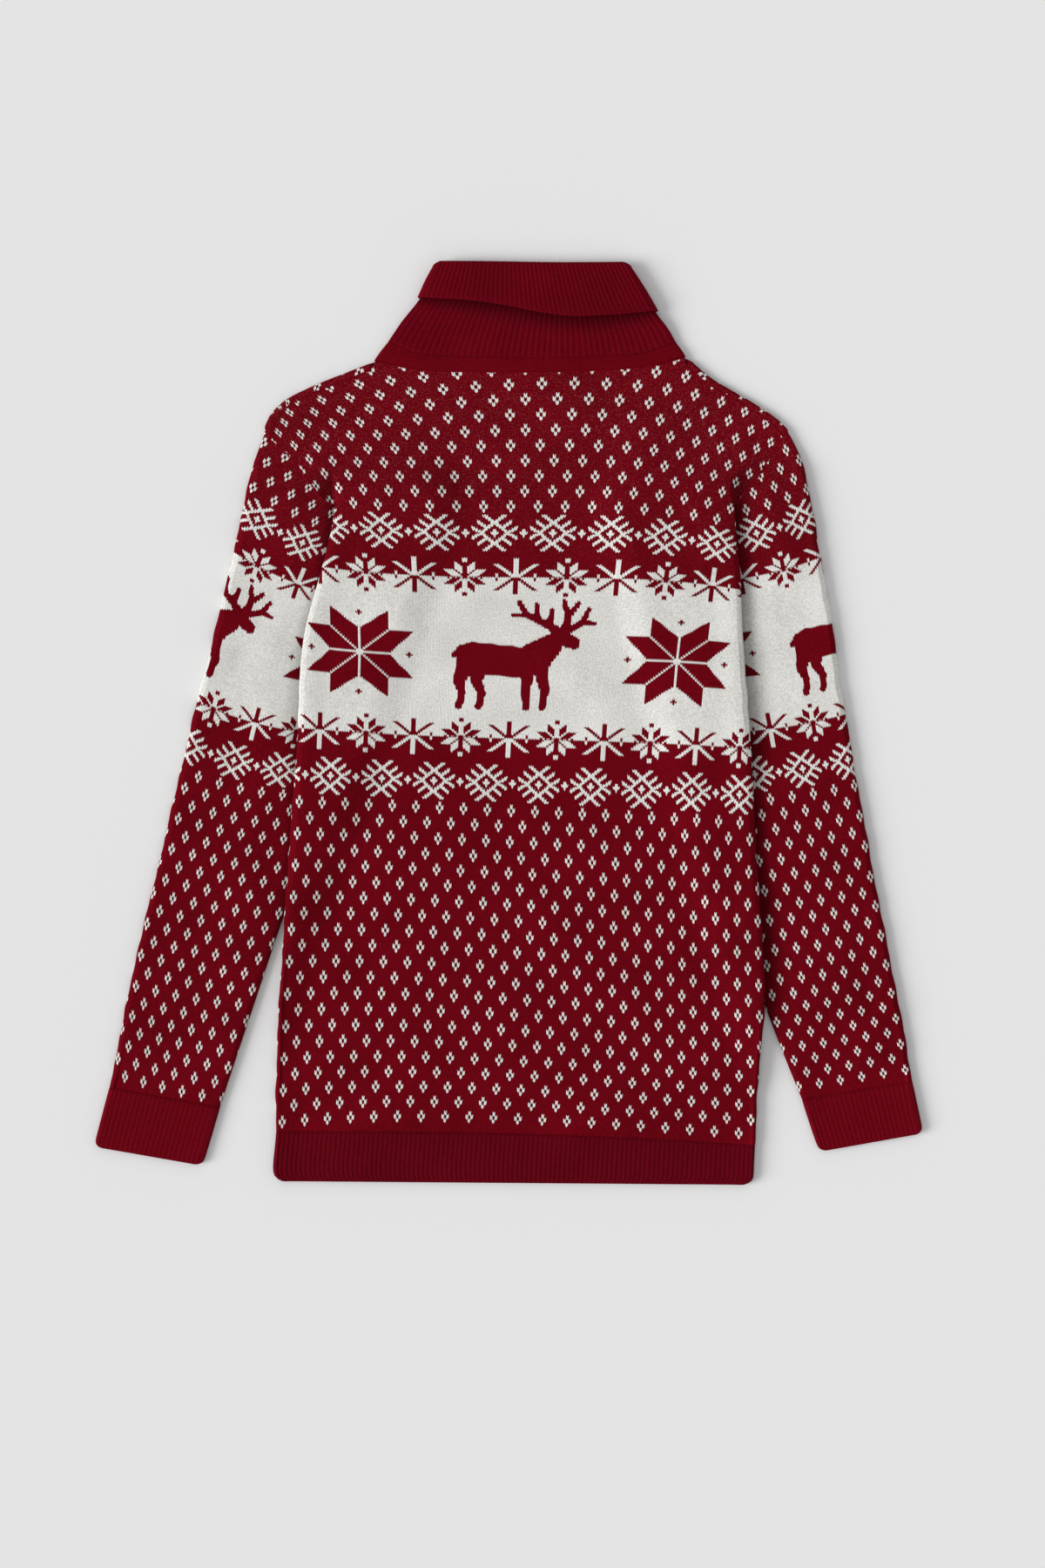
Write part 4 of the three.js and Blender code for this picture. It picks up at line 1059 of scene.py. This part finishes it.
# reindeer in tapering strokes: start, end and half widths at both; in rows, a stitch being 1.28 rows wide
deerStrokes = [
    (-24, -0.5, 3, -2.5, 8.6, 8), (3, -2.5, 10, -1, 8, 7.4), (8, 1, 21, 11, 7.6, 4.2), (10, -4, 18, 5, 5, 4),
    (20.5, 11.5, 28.5, 8, 4.6, 3.2), (18, 14, 13.5, 17, 1.8, 0.9), (-30, 4, -34.5, 0.5, 2.4, 1.2),
    (-27, -3, -31, -13, 6, 2.9), (-31, -13, -29, -19, 2.9, 2.1), (-29, -19, -30.5, -26, 2.1, 2),
    (-21, -4, -21.5, -13, 5.6, 3), (-21.5, -13, -18.5, -19, 3, 2.1), (-18.5, -19, -20, -26, 2.1, 2),
    (5, -7, 4.5, -17, 4, 2.5), (4.5, -17, 5, -26, 2.5, 1.9), (12, -6, 14.5, -17, 4, 2.5),
    (14.5, -17, 13.5, -26, 2.5, 1.9),
    (20, 14.5, 11, 19, 2.2, 1.9), (11, 19, 3, 23, 1.9, 1.7), (3, 23, -1, 29.5, 1.7, 1.3),
    (4, 22.5, -4, 22.5, 1.5, 1.1), (9, 20, 8, 28, 1.7, 1.3), (15, 17.5, 16, 25, 1.7, 1.3),
    (23, 14, 24.5, 22, 2.2, 1.9), (24.5, 22, 22, 30, 1.8, 1.3), (24.5, 22, 29.5, 29, 1.7, 1.3),
    (25, 14.5, 32, 19, 2, 1.7), (32, 19, 38.5, 18.5, 1.7, 1.2), (32, 19, 35, 26, 1.7, 1.2),
]
jacquard = {"bandMiddle": 246, "bandHalf": 42.5, "deerAspect": 1.28}


def deerMask(across, up):
    point = across.node("ShaderNodeCombineXYZ", None, {"X": across * jacquard["deerAspect"], "Y": up})
    masks = []
    for ax, ay, bx, by, half, endHalf in deerStrokes:
        span = (bx - ax, by - ay, 0)
        reach = span[0] ** 2 + span[1] ** 2
        away = across.node("ShaderNodeVectorMath", {"operation": "SUBTRACT"}, {0: point, 1: (ax, ay, 0)})
        dot = across.node("ShaderNodeVectorMath", {"operation": "DOT_PRODUCT"}, {0: away, 1: span}, 1)
        share = across.node("ShaderNodeMath", {"operation": "DIVIDE", "use_clamp": True}, {0: dot, 1: reach})
        along = across.node("ShaderNodeVectorMath", {"operation": "SCALE"}, {0: span, "Scale": share})
        gap = across.node("ShaderNodeVectorMath", {"operation": "DISTANCE"}, {0: away, 1: along}, 1)
        masks.append(gap < share * (endHalf - half) + half)
    return anyOf(*masks)


# 1 where the stitch at this column and row is knitted in the pale yarn, and the hollows of the diamonds, which get
# painted shade
def chart(col, row, phases):
    apart = size(row - jacquard["bandMiddle"])
    ground = apart < jacquard["bandHalf"]

    beyond = apart - 80                                    # small diamonds of four dots
    repeat = whole(beyond / 8 + 0.5)
    rung = size(beyond - repeat * 8)
    shift = ((repeat + 1 + (row > jacquard["bandMiddle"])) % 2) * 5
    x = size((col - shift + 5) % 10 - 5)
    diamond = ((x < 0.65) * (rung > 1.02) * (rung < 3.0) + (x > 0.65) * (x < 1.5) * (rung < 1.02)) * (beyond > -4.5) * (beyond < 164)

    a = size((col - phases["snow"] + 11) % 22 - 11)        # snowflakes
    b = size(apart - 66)
    dot = least(a, 11 - a)
    snow = anyOf((size(a * 1.14 + b - 5.6) < 0.98) * (a < 6), (size((a - 4.7) * 0.72 - b) < 0.8) * (a > 4.1) * (a < 8.9),
                 (size((b - 5.2) * 0.92 - a) < 0.8) * (b > 5) * (b < 9.6),
                 (size(b - a * 0.97) < 0.95) * (size(a - 4.4) < 2.1),
                 dot + b * 0.75 < 1.6)

    side = apart - jacquard["bandHalf"]                    # flowers and asterisks along both edges
    y = size(side) + 0.4
    f = size((col - phases["flower"] + 20) % 40 - 20)
    low, high = least(f + 0.5, y + 0.4), most(f + 0.5, y + 0.4)
    flower = anyOf((low > 1.25) * (low < 4.7) * (high > low + 0.55) * (high < low + 4.5),
                   (f < 1.1) * (size(y - 9.6) < 1.15), (f < 7) * ((f % 2) < 1) * (side < 0) * (side > -1))
    s = 20 - f
    star = anyOf((s < 1.2) * (y < 9.2 + (side > 0)), (size(s - y * 1.08) < 1.05) * (y < 7.6),
                 (size(s - 7.5) < 0.6) * (y < 2.5))

    across = size((col - phases["star"] + 66) % 132 - 66)  # large stars
    m, most2 = least(across, apart), most(across, apart)
    big = anyOf((m > 0.5) * (most2 > m + 0.5) * (m < 12.5) * (most2 < m * 0.85 + 12.5) * (across + apart > 2.5),
                size(most2 - 21) + m < 1.5)
    deer = deerMask((col - phases["star"]) % 132 - 66, row - jacquard["bandMiddle"])
    hollow = (x < 0.62) * (rung < 1.02) * (beyond > -4.5) * (beyond < 164)
    return size(ground - anyOf(diamond, snow, flower, star, big, deer)), hollow


yarns = {
    "red": (129, 6, 25), "redDeep": (100, 2, 15), "pale": (253, 252, 248), "paleWarm": (214, 211, 205),
    "hem": (112, 6, 24), "hemDeep": (92, 3, 18), "collar": (119, 6, 25), "collarDeep": (99, 3, 18),
    "neck": (124, 6, 23), "neckDeep": (100, 3, 16), "cuff": (125, 7, 26), "cuffDeep": (105, 4, 19),
    "fleck": (190, 92, 96), "overhang": 0.9, "soft": 0.4, "bump": 0.35, "gapShade": 0.38,
}


def blend(w, share, low, high, mode="MIX"):
    return w.node("ShaderNodeMix", {"data_type": "RGBA", "blend_type": mode},
                  {0: share, 6: low, 7: high}, 2)


def knitFinish(name, colour, deep, phases=None, ribbed=False):
    finish = bpy.data.materials.new(name)
    finish.use_nodes = True
    tree = finish.node_tree
    tree.nodes.clear()
    w = Wire(tree)
    place = w.node("ShaderNodeUVMap", {"uv_map": "stitches"})
    split = w.node("ShaderNodeSeparateXYZ", None, {0: place})
    c = split
    v = Wire(tree, split.socket.node.outputs[1])
    object = w.node("ShaderNodeTexCoord", None, None, 3)

    # each stitch is a V: its two legs rise outwards
    col = whole(c + 0.5)
    leg = size(c - col) * 2
    raised = v - leg * yarns["overhang"] + (0.5 + yarns["overhang"] * 0.5)
    row = whole(raised)
    t = raised - row
    acrossLeg = leg * 2 - 1
    alongLeg = t * 2 - 1
    roundness = (1 - acrossLeg * acrossLeg) * (1 - alongLeg * alongLeg * 0.8)
    fuzz = w.node("ShaderNodeTexNoise", None, {"Vector": object, "Scale": 620, "Detail": 3, "Roughness": 0.65})
    cloudy = w.node("ShaderNodeTexNoise", None, {"Vector": object, "Scale": 22, "Detail": 2, "Roughness": 0.5})
    lively = fuzz * 0.72 + cloudy * 0.28
    share = w.node("ShaderNodeMapRange", None, {0: lively, 1: 0.36, 2: 0.64, 3: 0.0, 4: 1.0})
    cloth = blend(w, share, linear(*deep), linear(*colour))
    # painted shade: depth darkens the gaps between the yarn legs and, in ribbed knit, the furrows between the ribs
    depth = 1 - (1 - roundness) * yarns["gapShade"]
    if ribbed:                                             # furrows are darker than crests
        crest = size((c * 0.5 + 0.5) % 1 - 0.5) * 2
        depth = 1 - (1 - roundness) * 0.22 - (1 - crest) * (1 - crest) * 0.22
    if phases:
        soft = yarns["soft"]
        pale, hollow = chart(col * (1 - soft) + c * soft, row * (1 - soft) + (raised - 0.5) * soft, phases)
        flecks = w.node("ShaderNodeTexNoise", None, {"Vector": object, "Scale": 900, "Detail": 1})
        yoke = w.node("ShaderNodeMapRange", None, {0: v, 1: 270, 2: 370, 3: 0.0, 4: 1.0})
        cloth = blend(w, (flecks > 0.62) * yoke * 0.3, cloth, linear(*yarns["fleck"]))
        paleYarn = blend(w, share, linear(*yarns["paleWarm"]), linear(*yarns["pale"]))
        cloth = blend(w, pale, cloth, paleYarn)
        # painted shade: the diamonds' hollows are darkened further
        depth = (1 - (1 - roundness) * yarns["gapShade"] * (1 - pale * 0.3)) * (1 - hollow * 0.42)
    # the painted shade in depth multiplies the colour
    grey = w.node("ShaderNodeCombineXYZ", None, {"X": depth, "Y": depth, "Z": depth})
    cloth = blend(w, 1.0, cloth, grey, "MULTIPLY")
    # painted shade from the shade attribute: the colour is blended towards black
    shade = w.node("ShaderNodeAttribute", {"attribute_name": "shade"}, None, 2)
    cloth = blend(w, shade, cloth, (0.0, 0.0, 0.0, 1.0))
    height = roundness + fuzz * 0.35
    bump = w.node("ShaderNodeBump", None, {"Strength": yarns["bump"], "Distance": 0.0007, "Height": height})
    shader = w.node("ShaderNodeBsdfPrincipled", None, {
        "Base Color": cloth, "Roughness": 0.88 - roundness * 0.08, "Normal": bump,
        "Specular IOR Level": 0.03})
    output = tree.nodes.new("ShaderNodeOutputMaterial")
    tree.links.new(shader.socket, output.inputs["Surface"])
    return finish


def yarnFinish(name, colour, deep):
    finish = bpy.data.materials.new(name)
    finish.use_nodes = True
    tree = finish.node_tree
    tree.nodes.clear()
    w = Wire(tree)
    place = w.node("ShaderNodeTexCoord", None, None, 3)
    fuzz = w.node("ShaderNodeTexNoise", None, {"Vector": place, "Scale": 900, "Detail": 2})
    colours = blend(w, w.node("ShaderNodeMapRange", None, {0: fuzz, 1: 0.35, 2: 0.65}), linear(*deep), linear(*colour))
    bump = w.node("ShaderNodeBump", None, {"Strength": 0.4, "Distance": 0.0003, "Height": fuzz})
    shader = w.node("ShaderNodeBsdfPrincipled", None, {
        "Base Color": colours, "Roughness": 0.88, "Normal": bump, "Specular IOR Level": 0.03})
    output = tree.nodes.new("ShaderNodeOutputMaterial")
    tree.links.new(shader.socket, output.inputs["Surface"])
    return finish


print("finishes")
bodyKnit = knitFinish("body jacquard", yarns["red"], yarns["redDeep"], {"snow": 6, "flower": 12.5, "star": -71})
leftKnit = knitFinish("left sleeve jacquard", yarns["red"], yarns["redDeep"],
                      {"snow": 9, "flower": -5.5, "star": 44})
rightKnit = knitFinish("right sleeve jacquard", yarns["red"], yarns["redDeep"],
                       {"snow": 2, "flower": 10.5, "star": -32})
hemFinish = knitFinish("hem rib", yarns["hem"], yarns["hemDeep"], ribbed=True)
cuffFinish = knitFinish("cuff rib", yarns["cuff"], yarns["cuffDeep"], ribbed=True)
collarFinish = knitFinish("collar rib", yarns["collar"], yarns["collarDeep"], ribbed=True)
neckFinish = knitFinish("neck band knit", yarns["neck"], yarns["neckDeep"])
linkingYarn = yarnFinish("linking yarn", yarns["red"], yarns["redDeep"])

# --- ribs and linking stitches by geometry nodes


# adds nodes to a tree and gives the socket asked for
def nodeMaker(tree):
    def made(kind, settings, sockets, out=0):
        node = tree.nodes.new(kind)
        for key, value in settings.items():
            setattr(node, key, value)
        for key, value in sockets.items():
            if isinstance(value, bpy.types.NodeSocket):
                tree.links.new(value, node.inputs[key])
            else:
                node.inputs[key].default_value = value
        return node.outputs[out]
    return made


def newTree(name, numbers):
    tree = bpy.data.node_groups.new(name, "GeometryNodeTree")
    face = tree.interface
    face.new_socket(name="Shape", in_out="INPUT", socket_type="NodeSocketGeometry")
    sockets = {key: face.new_socket(name=key, in_out="INPUT", socket_type="NodeSocketFloat").identifier
               for key in numbers}
    sockets["Yarn"] = face.new_socket(name="Yarn", in_out="INPUT", socket_type="NodeSocketMaterial").identifier
    face.new_socket(name="Shape", in_out="OUTPUT", socket_type="NodeSocketGeometry")
    start, end = tree.nodes.new("NodeGroupInput"), tree.nodes.new("NodeGroupOutput")
    return tree, sockets, {socket.name: socket for socket in start.outputs}, end


def endTree(tree, made, shape, given, end):
    real = made("GeometryNodeRealizeInstances", {}, {"Geometry": shape})
    smooth = made("GeometryNodeSetShadeSmooth", {}, {"Geometry": real})
    coloured = made("GeometryNodeSetMaterial", {}, {"Geometry": smooth, "Material": given["Yarn"]})
    tree.links.new(coloured, end.inputs[0])


# the tree's result takes the place of the piece's own mesh
def applyTree(piece, tree, sockets, values):
    modifier = piece.modifiers.new(tree.name, "NODES")
    modifier.node_group = tree
    for key, value in values.items():
        modifier[sockets[key]] = value
    plain = bpy.data.meshes.new_from_object(piece.evaluated_get(bpy.context.evaluated_depsgraph_get()))
    piece.modifiers.remove(modifier)
    old = piece.data
    piece.data = plain
    plain.name = piece.name
    bpy.data.meshes.remove(old)
    return piece


def ribRelief(piece, settings, yarn):
    tree, sockets, given, end = newTree("rib relief", ["Relief", "Roundness"])
    made = nodeMaker(tree)
    across = made("GeometryNodeInputNamedAttribute", {"data_type": "FLOAT"}, {"Name": "ribAcross"})
    reach = made("GeometryNodeInputNamedAttribute", {"data_type": "FLOAT"}, {"Name": "ribReach"})
    turn = made("ShaderNodeMath", {"operation": "MULTIPLY"}, {0: across, 1: 2 * math.pi})
    wave = made("ShaderNodeMath", {"operation": "COSINE"}, {0: turn})
    share = made("ShaderNodeMath", {"operation": "MULTIPLY_ADD"}, {0: wave, 1: -0.5, 2: 0.5})
    crest = made("ShaderNodeMath", {"operation": "POWER"}, {0: share, 1: given["Roundness"]})
    shift = made("ShaderNodeMath", {"operation": "ADD"}, {0: crest, 1: -0.35})
    high = made("ShaderNodeMath", {"operation": "MULTIPLY"}, {0: shift, 1: given["Relief"]})
    held = made("ShaderNodeMath", {"operation": "MULTIPLY"}, {0: high, 1: reach})
    metres = made("ShaderNodeMath", {"operation": "MULTIPLY"}, {0: held, 1: mm})
    offset = made("ShaderNodeVectorMath", {"operation": "SCALE"},
                  {0: made("GeometryNodeInputNormal", {}, {}), "Scale": metres})
    moved = made("GeometryNodeSetPosition", {}, {"Geometry": given["Shape"], "Offset": offset})
    # undersides stay on the floor
    place = made("GeometryNodeInputPosition", {}, {})
    x, y, z = (made("ShaderNodeSeparateXYZ", {}, {0: place}, k) for k in range(3))
    above = made("ShaderNodeMath", {"operation": "MAXIMUM"}, {0: z, 1: 0.02 * mm})
    rested = made("GeometryNodeSetPosition", {},
                  {"Geometry": moved, "Position": made("ShaderNodeCombineXYZ", {}, {0: x, 1: y, 2: above})})
    endTree(tree, made, rested, given, end)
    return applyTree(piece, tree, sockets, {"Relief": settings["relief"], "Roundness": 0.8, "Yarn": yarn})


chain = {"spacing": 1.3, "long": 2.5, "wide": 1.15, "high": 1.0, "slant": 30, "sunk": 0.12}


# a chain of slanted loops along a seam, on top of whatever cloth is there
def linking(name, line, surface, yarn):
    heading = unit(np.gradient(line)) * 1j
    tops = []
    for p, across in zip(line, heading):
        spots = [p + across * d for d in (-1.3, -0.7, 0, 0.7, 1.3)]
        hits = [surface.ray_cast((q.real * mm, q.imag * mm, 60 * mm), (0, 0, -1))[0] for q in spots]
        tops.append(sorted(hit.z / mm for hit in hits if hit is not None)[-2])
    tops = np.convolve(np.pad(np.array(tops), 2, "edge"), np.ones(5) / 5, "valid")
    mesh = bpy.data.meshes.new(name)
    mesh.from_pydata((points3(line, tops - chain["sunk"]) * mm).tolist(), [(k, k + 1) for k in range(len(line) - 1)], [])
    piece = bpy.data.objects.new(name, mesh)
    bpy.context.scene.collection.objects.link(piece)

    tree, sockets, given, end = newTree("linking", ["Spacing", "Long", "Wide", "High", "Slant", "Seed"])
    made = nodeMaker(tree)
    curve = made("GeometryNodeMeshToCurve", {}, {"Mesh": given["Shape"]})
    even = made("GeometryNodeResampleCurve", {"mode": "LENGTH"}, {"Curve": curve, "Length": given["Spacing"]})
    tangent = made("GeometryNodeInputTangent", {}, {})
    x, y = (made("ShaderNodeSeparateXYZ", {}, {0: tangent}, k) for k in range(2))
    along = made("ShaderNodeMath", {"operation": "ARCTAN2"}, {0: y, 1: x})
    index = made("GeometryNodeInputIndex", {}, {})
    odd = made("ShaderNodeMath", {"operation": "FLOORED_MODULO"}, {0: index, 1: 2})
    side = made("ShaderNodeMath", {"operation": "MULTIPLY_ADD"}, {0: odd, 1: 2, 2: -1})
    loose = made("FunctionNodeRandomValue", {"data_type": "FLOAT"}, {2: -0.12, 3: 0.12, "Seed": given["Seed"]}, 1)
    slanted = made("ShaderNodeMath", {"operation": "MULTIPLY_ADD"}, {0: side, 1: given["Slant"], 2: along})
    turn = made("ShaderNodeMath", {"operation": "ADD"}, {0: slanted, 1: loose})
    turned = made("FunctionNodeEulerToRotation", {}, {0: made("ShaderNodeCombineXYZ", {}, {2: turn})})
    scale = made("ShaderNodeCombineXYZ", {}, {0: given["Long"], 1: given["Wide"], 2: given["High"]})
    loop = made("GeometryNodeMeshUVSphere", {}, {"Segments": 8, "Rings": 5, "Radius": 0.5})
    placed = made("GeometryNodeInstanceOnPoints", {},
                  {"Points": even, "Instance": loop, "Rotation": turned, "Scale": scale})
    aside = made("ShaderNodeMath", {"operation": "MULTIPLY"}, {0: side, 1: given["Wide"]})
    half = made("ShaderNodeMath", {"operation": "MULTIPLY"}, {0: aside, 1: 0.5})
    spread = made("GeometryNodeTranslateInstances", {},
                  {"Instances": placed, "Translation": made("ShaderNodeCombineXYZ", {}, {1: half})})
    endTree(tree, made, spread, given, end)
    return applyTree(piece, tree, sockets, {
        "Spacing": chain["spacing"] * mm, "Long": chain["long"] * mm, "Wide": chain["wide"] * mm,
        "High": chain["high"] * mm, "Slant": math.radians(chain["slant"]), "Seed": 7.0, "Yarn": yarn})


print("body panels")
pieces = {"back_panel": backPanel(), "front_panel": frontPanel()}
print("sleeves and cuffs")
for side in ("left", "right"):
    pieces[f"{side}_sleeve"] = sleeve(side)
    pieces[f"{side}_cuff"] = ribRelief(cuff(side), cuffRib, cuffFinish)
print("hem, neck band and collar")
pieces["back_hem_rib"] = ribRelief(hemRib("back_hem_knit", fromTop, False), hem, hemFinish)
pieces["front_hem_rib"] = ribRelief(hemRib("front_hem_knit", fromBottom, True), hem, hemFinish)
pieces["neck_band"] = neckBand()
pieces["collar"] = ribRelief(collarPiece(), collar, collarFinish)
for name, piece in pieces.items():
    print(name, len(piece.data.polygons), "faces")

print("linking stitches")
corners, sides = [], []
for piece in pieces.values():
    first = len(corners)
    corners += [tuple(vertex.co) for vertex in piece.data.vertices]
    sides += [[first + k for k in face.vertices] for face in piece.data.polygons]
surface = BVHTree.FromPolygons(corners, sides)
seamAt = np.linspace(0.015, 0.985, 70)
wrap = body["shoulderWrap"] - cloth["seam"] / 2
seams = {
    "left_armhole_linking": armhole("left", seamAt), "right_armhole_linking": armhole("right", seamAt),
    "left_shoulder_linking": shoulderEdge("left", seamAt, wrap),
    "right_shoulder_linking": shoulderEdge("right", seamAt, wrap),
    "neck_linking": mix(collarSides["seam"][0], collarSides["seam"][1], np.linspace(0.008, 0.992, 140))
    + 1j * (along(collarLines, "at", "seam", np.linspace(0.008, 0.992, 140)) - cloth["seam"] / 2),
}
seamPieces = [linking(name, line, surface, linkingYarn) for name, line in seams.items()]
for piece in seamPieces:
    print(piece.name, len(piece.data.polygons), "faces")

worn = {"back_panel": bodyKnit, "front_panel": bodyKnit, "left_sleeve": leftKnit, "right_sleeve": rightKnit,
        "back_hem_rib": hemFinish, "front_hem_rib": hemFinish, "left_cuff": cuffFinish,
        "right_cuff": cuffFinish, "neck_band": neckFinish, "collar": collarFinish}
for name, piece in pieces.items():
    piece.data.materials.clear()
    piece.data.materials.append(worn[name])

for piece in seamPieces:
    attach(piece, "root")
for name, piece in pieces.items():
    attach(piece, "root")
    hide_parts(name)
    seamPieces if name == "back_panel" else []

print("floor, light and camera")
floorMesh = bpy.data.meshes.new("floor")
floorMesh.from_pydata([(-4, -4, 0), (4, -4, 0), (4, 4, 0), (-4, 4, 0)], [], [(0, 1, 2, 3)])
floor = bpy.data.objects.new("floor", floorMesh)
paper = bpy.data.materials.new("pale floor")
paper.use_nodes = True
paper.node_tree.nodes["Principled BSDF"].inputs["Base Color"].default_value = linear(231, 231, 231)
paper.node_tree.nodes["Principled BSDF"].inputs["Roughness"].default_value = 0.95
paper.node_tree.nodes["Principled BSDF"].inputs["Specular IOR Level"].default_value = 0.0
floorMesh.materials.append(paper)
bpy.context.scene.collection.objects.link(floor)

shot = {"middle": (0.0118, -0.0525), "away": 3.0, "height": 1.332}
eye = bpy.data.cameras.new("camera")
eye.sensor_fit = "VERTICAL"
eye.sensor_height = 36
eye.lens = 36 * shot["away"] / shot["height"]
eye.clip_end = 20
camera = bpy.data.objects.new("camera", eye)
camera.location = (*shot["middle"], shot["away"])
bpy.context.scene.collection.objects.link(camera)
bpy.context.scene.camera = camera

light = {"height": 27, "towards": -10, "softness": 32, "strength": 2.8, "room": 0.562}
key = bpy.data.lights.new("key", "SUN")
key.energy = light["strength"]
key.angle = math.radians(light["softness"])
keyLight = bpy.data.objects.new("key", key)
keyLight.rotation_euler = (0, math.radians(light["height"] - 90), math.radians(-light["towards"]))
bpy.context.scene.collection.objects.link(keyLight)
world = bpy.data.worlds.new("studio")
world.use_nodes = True
world.node_tree.nodes["Background"].inputs["Color"].default_value = (1, 1, 1, 1)
world.node_tree.nodes["Background"].inputs["Strength"].default_value = light["room"]
bpy.context.scene.world = world
bpy.context.scene.view_settings.view_transform = "Standard"
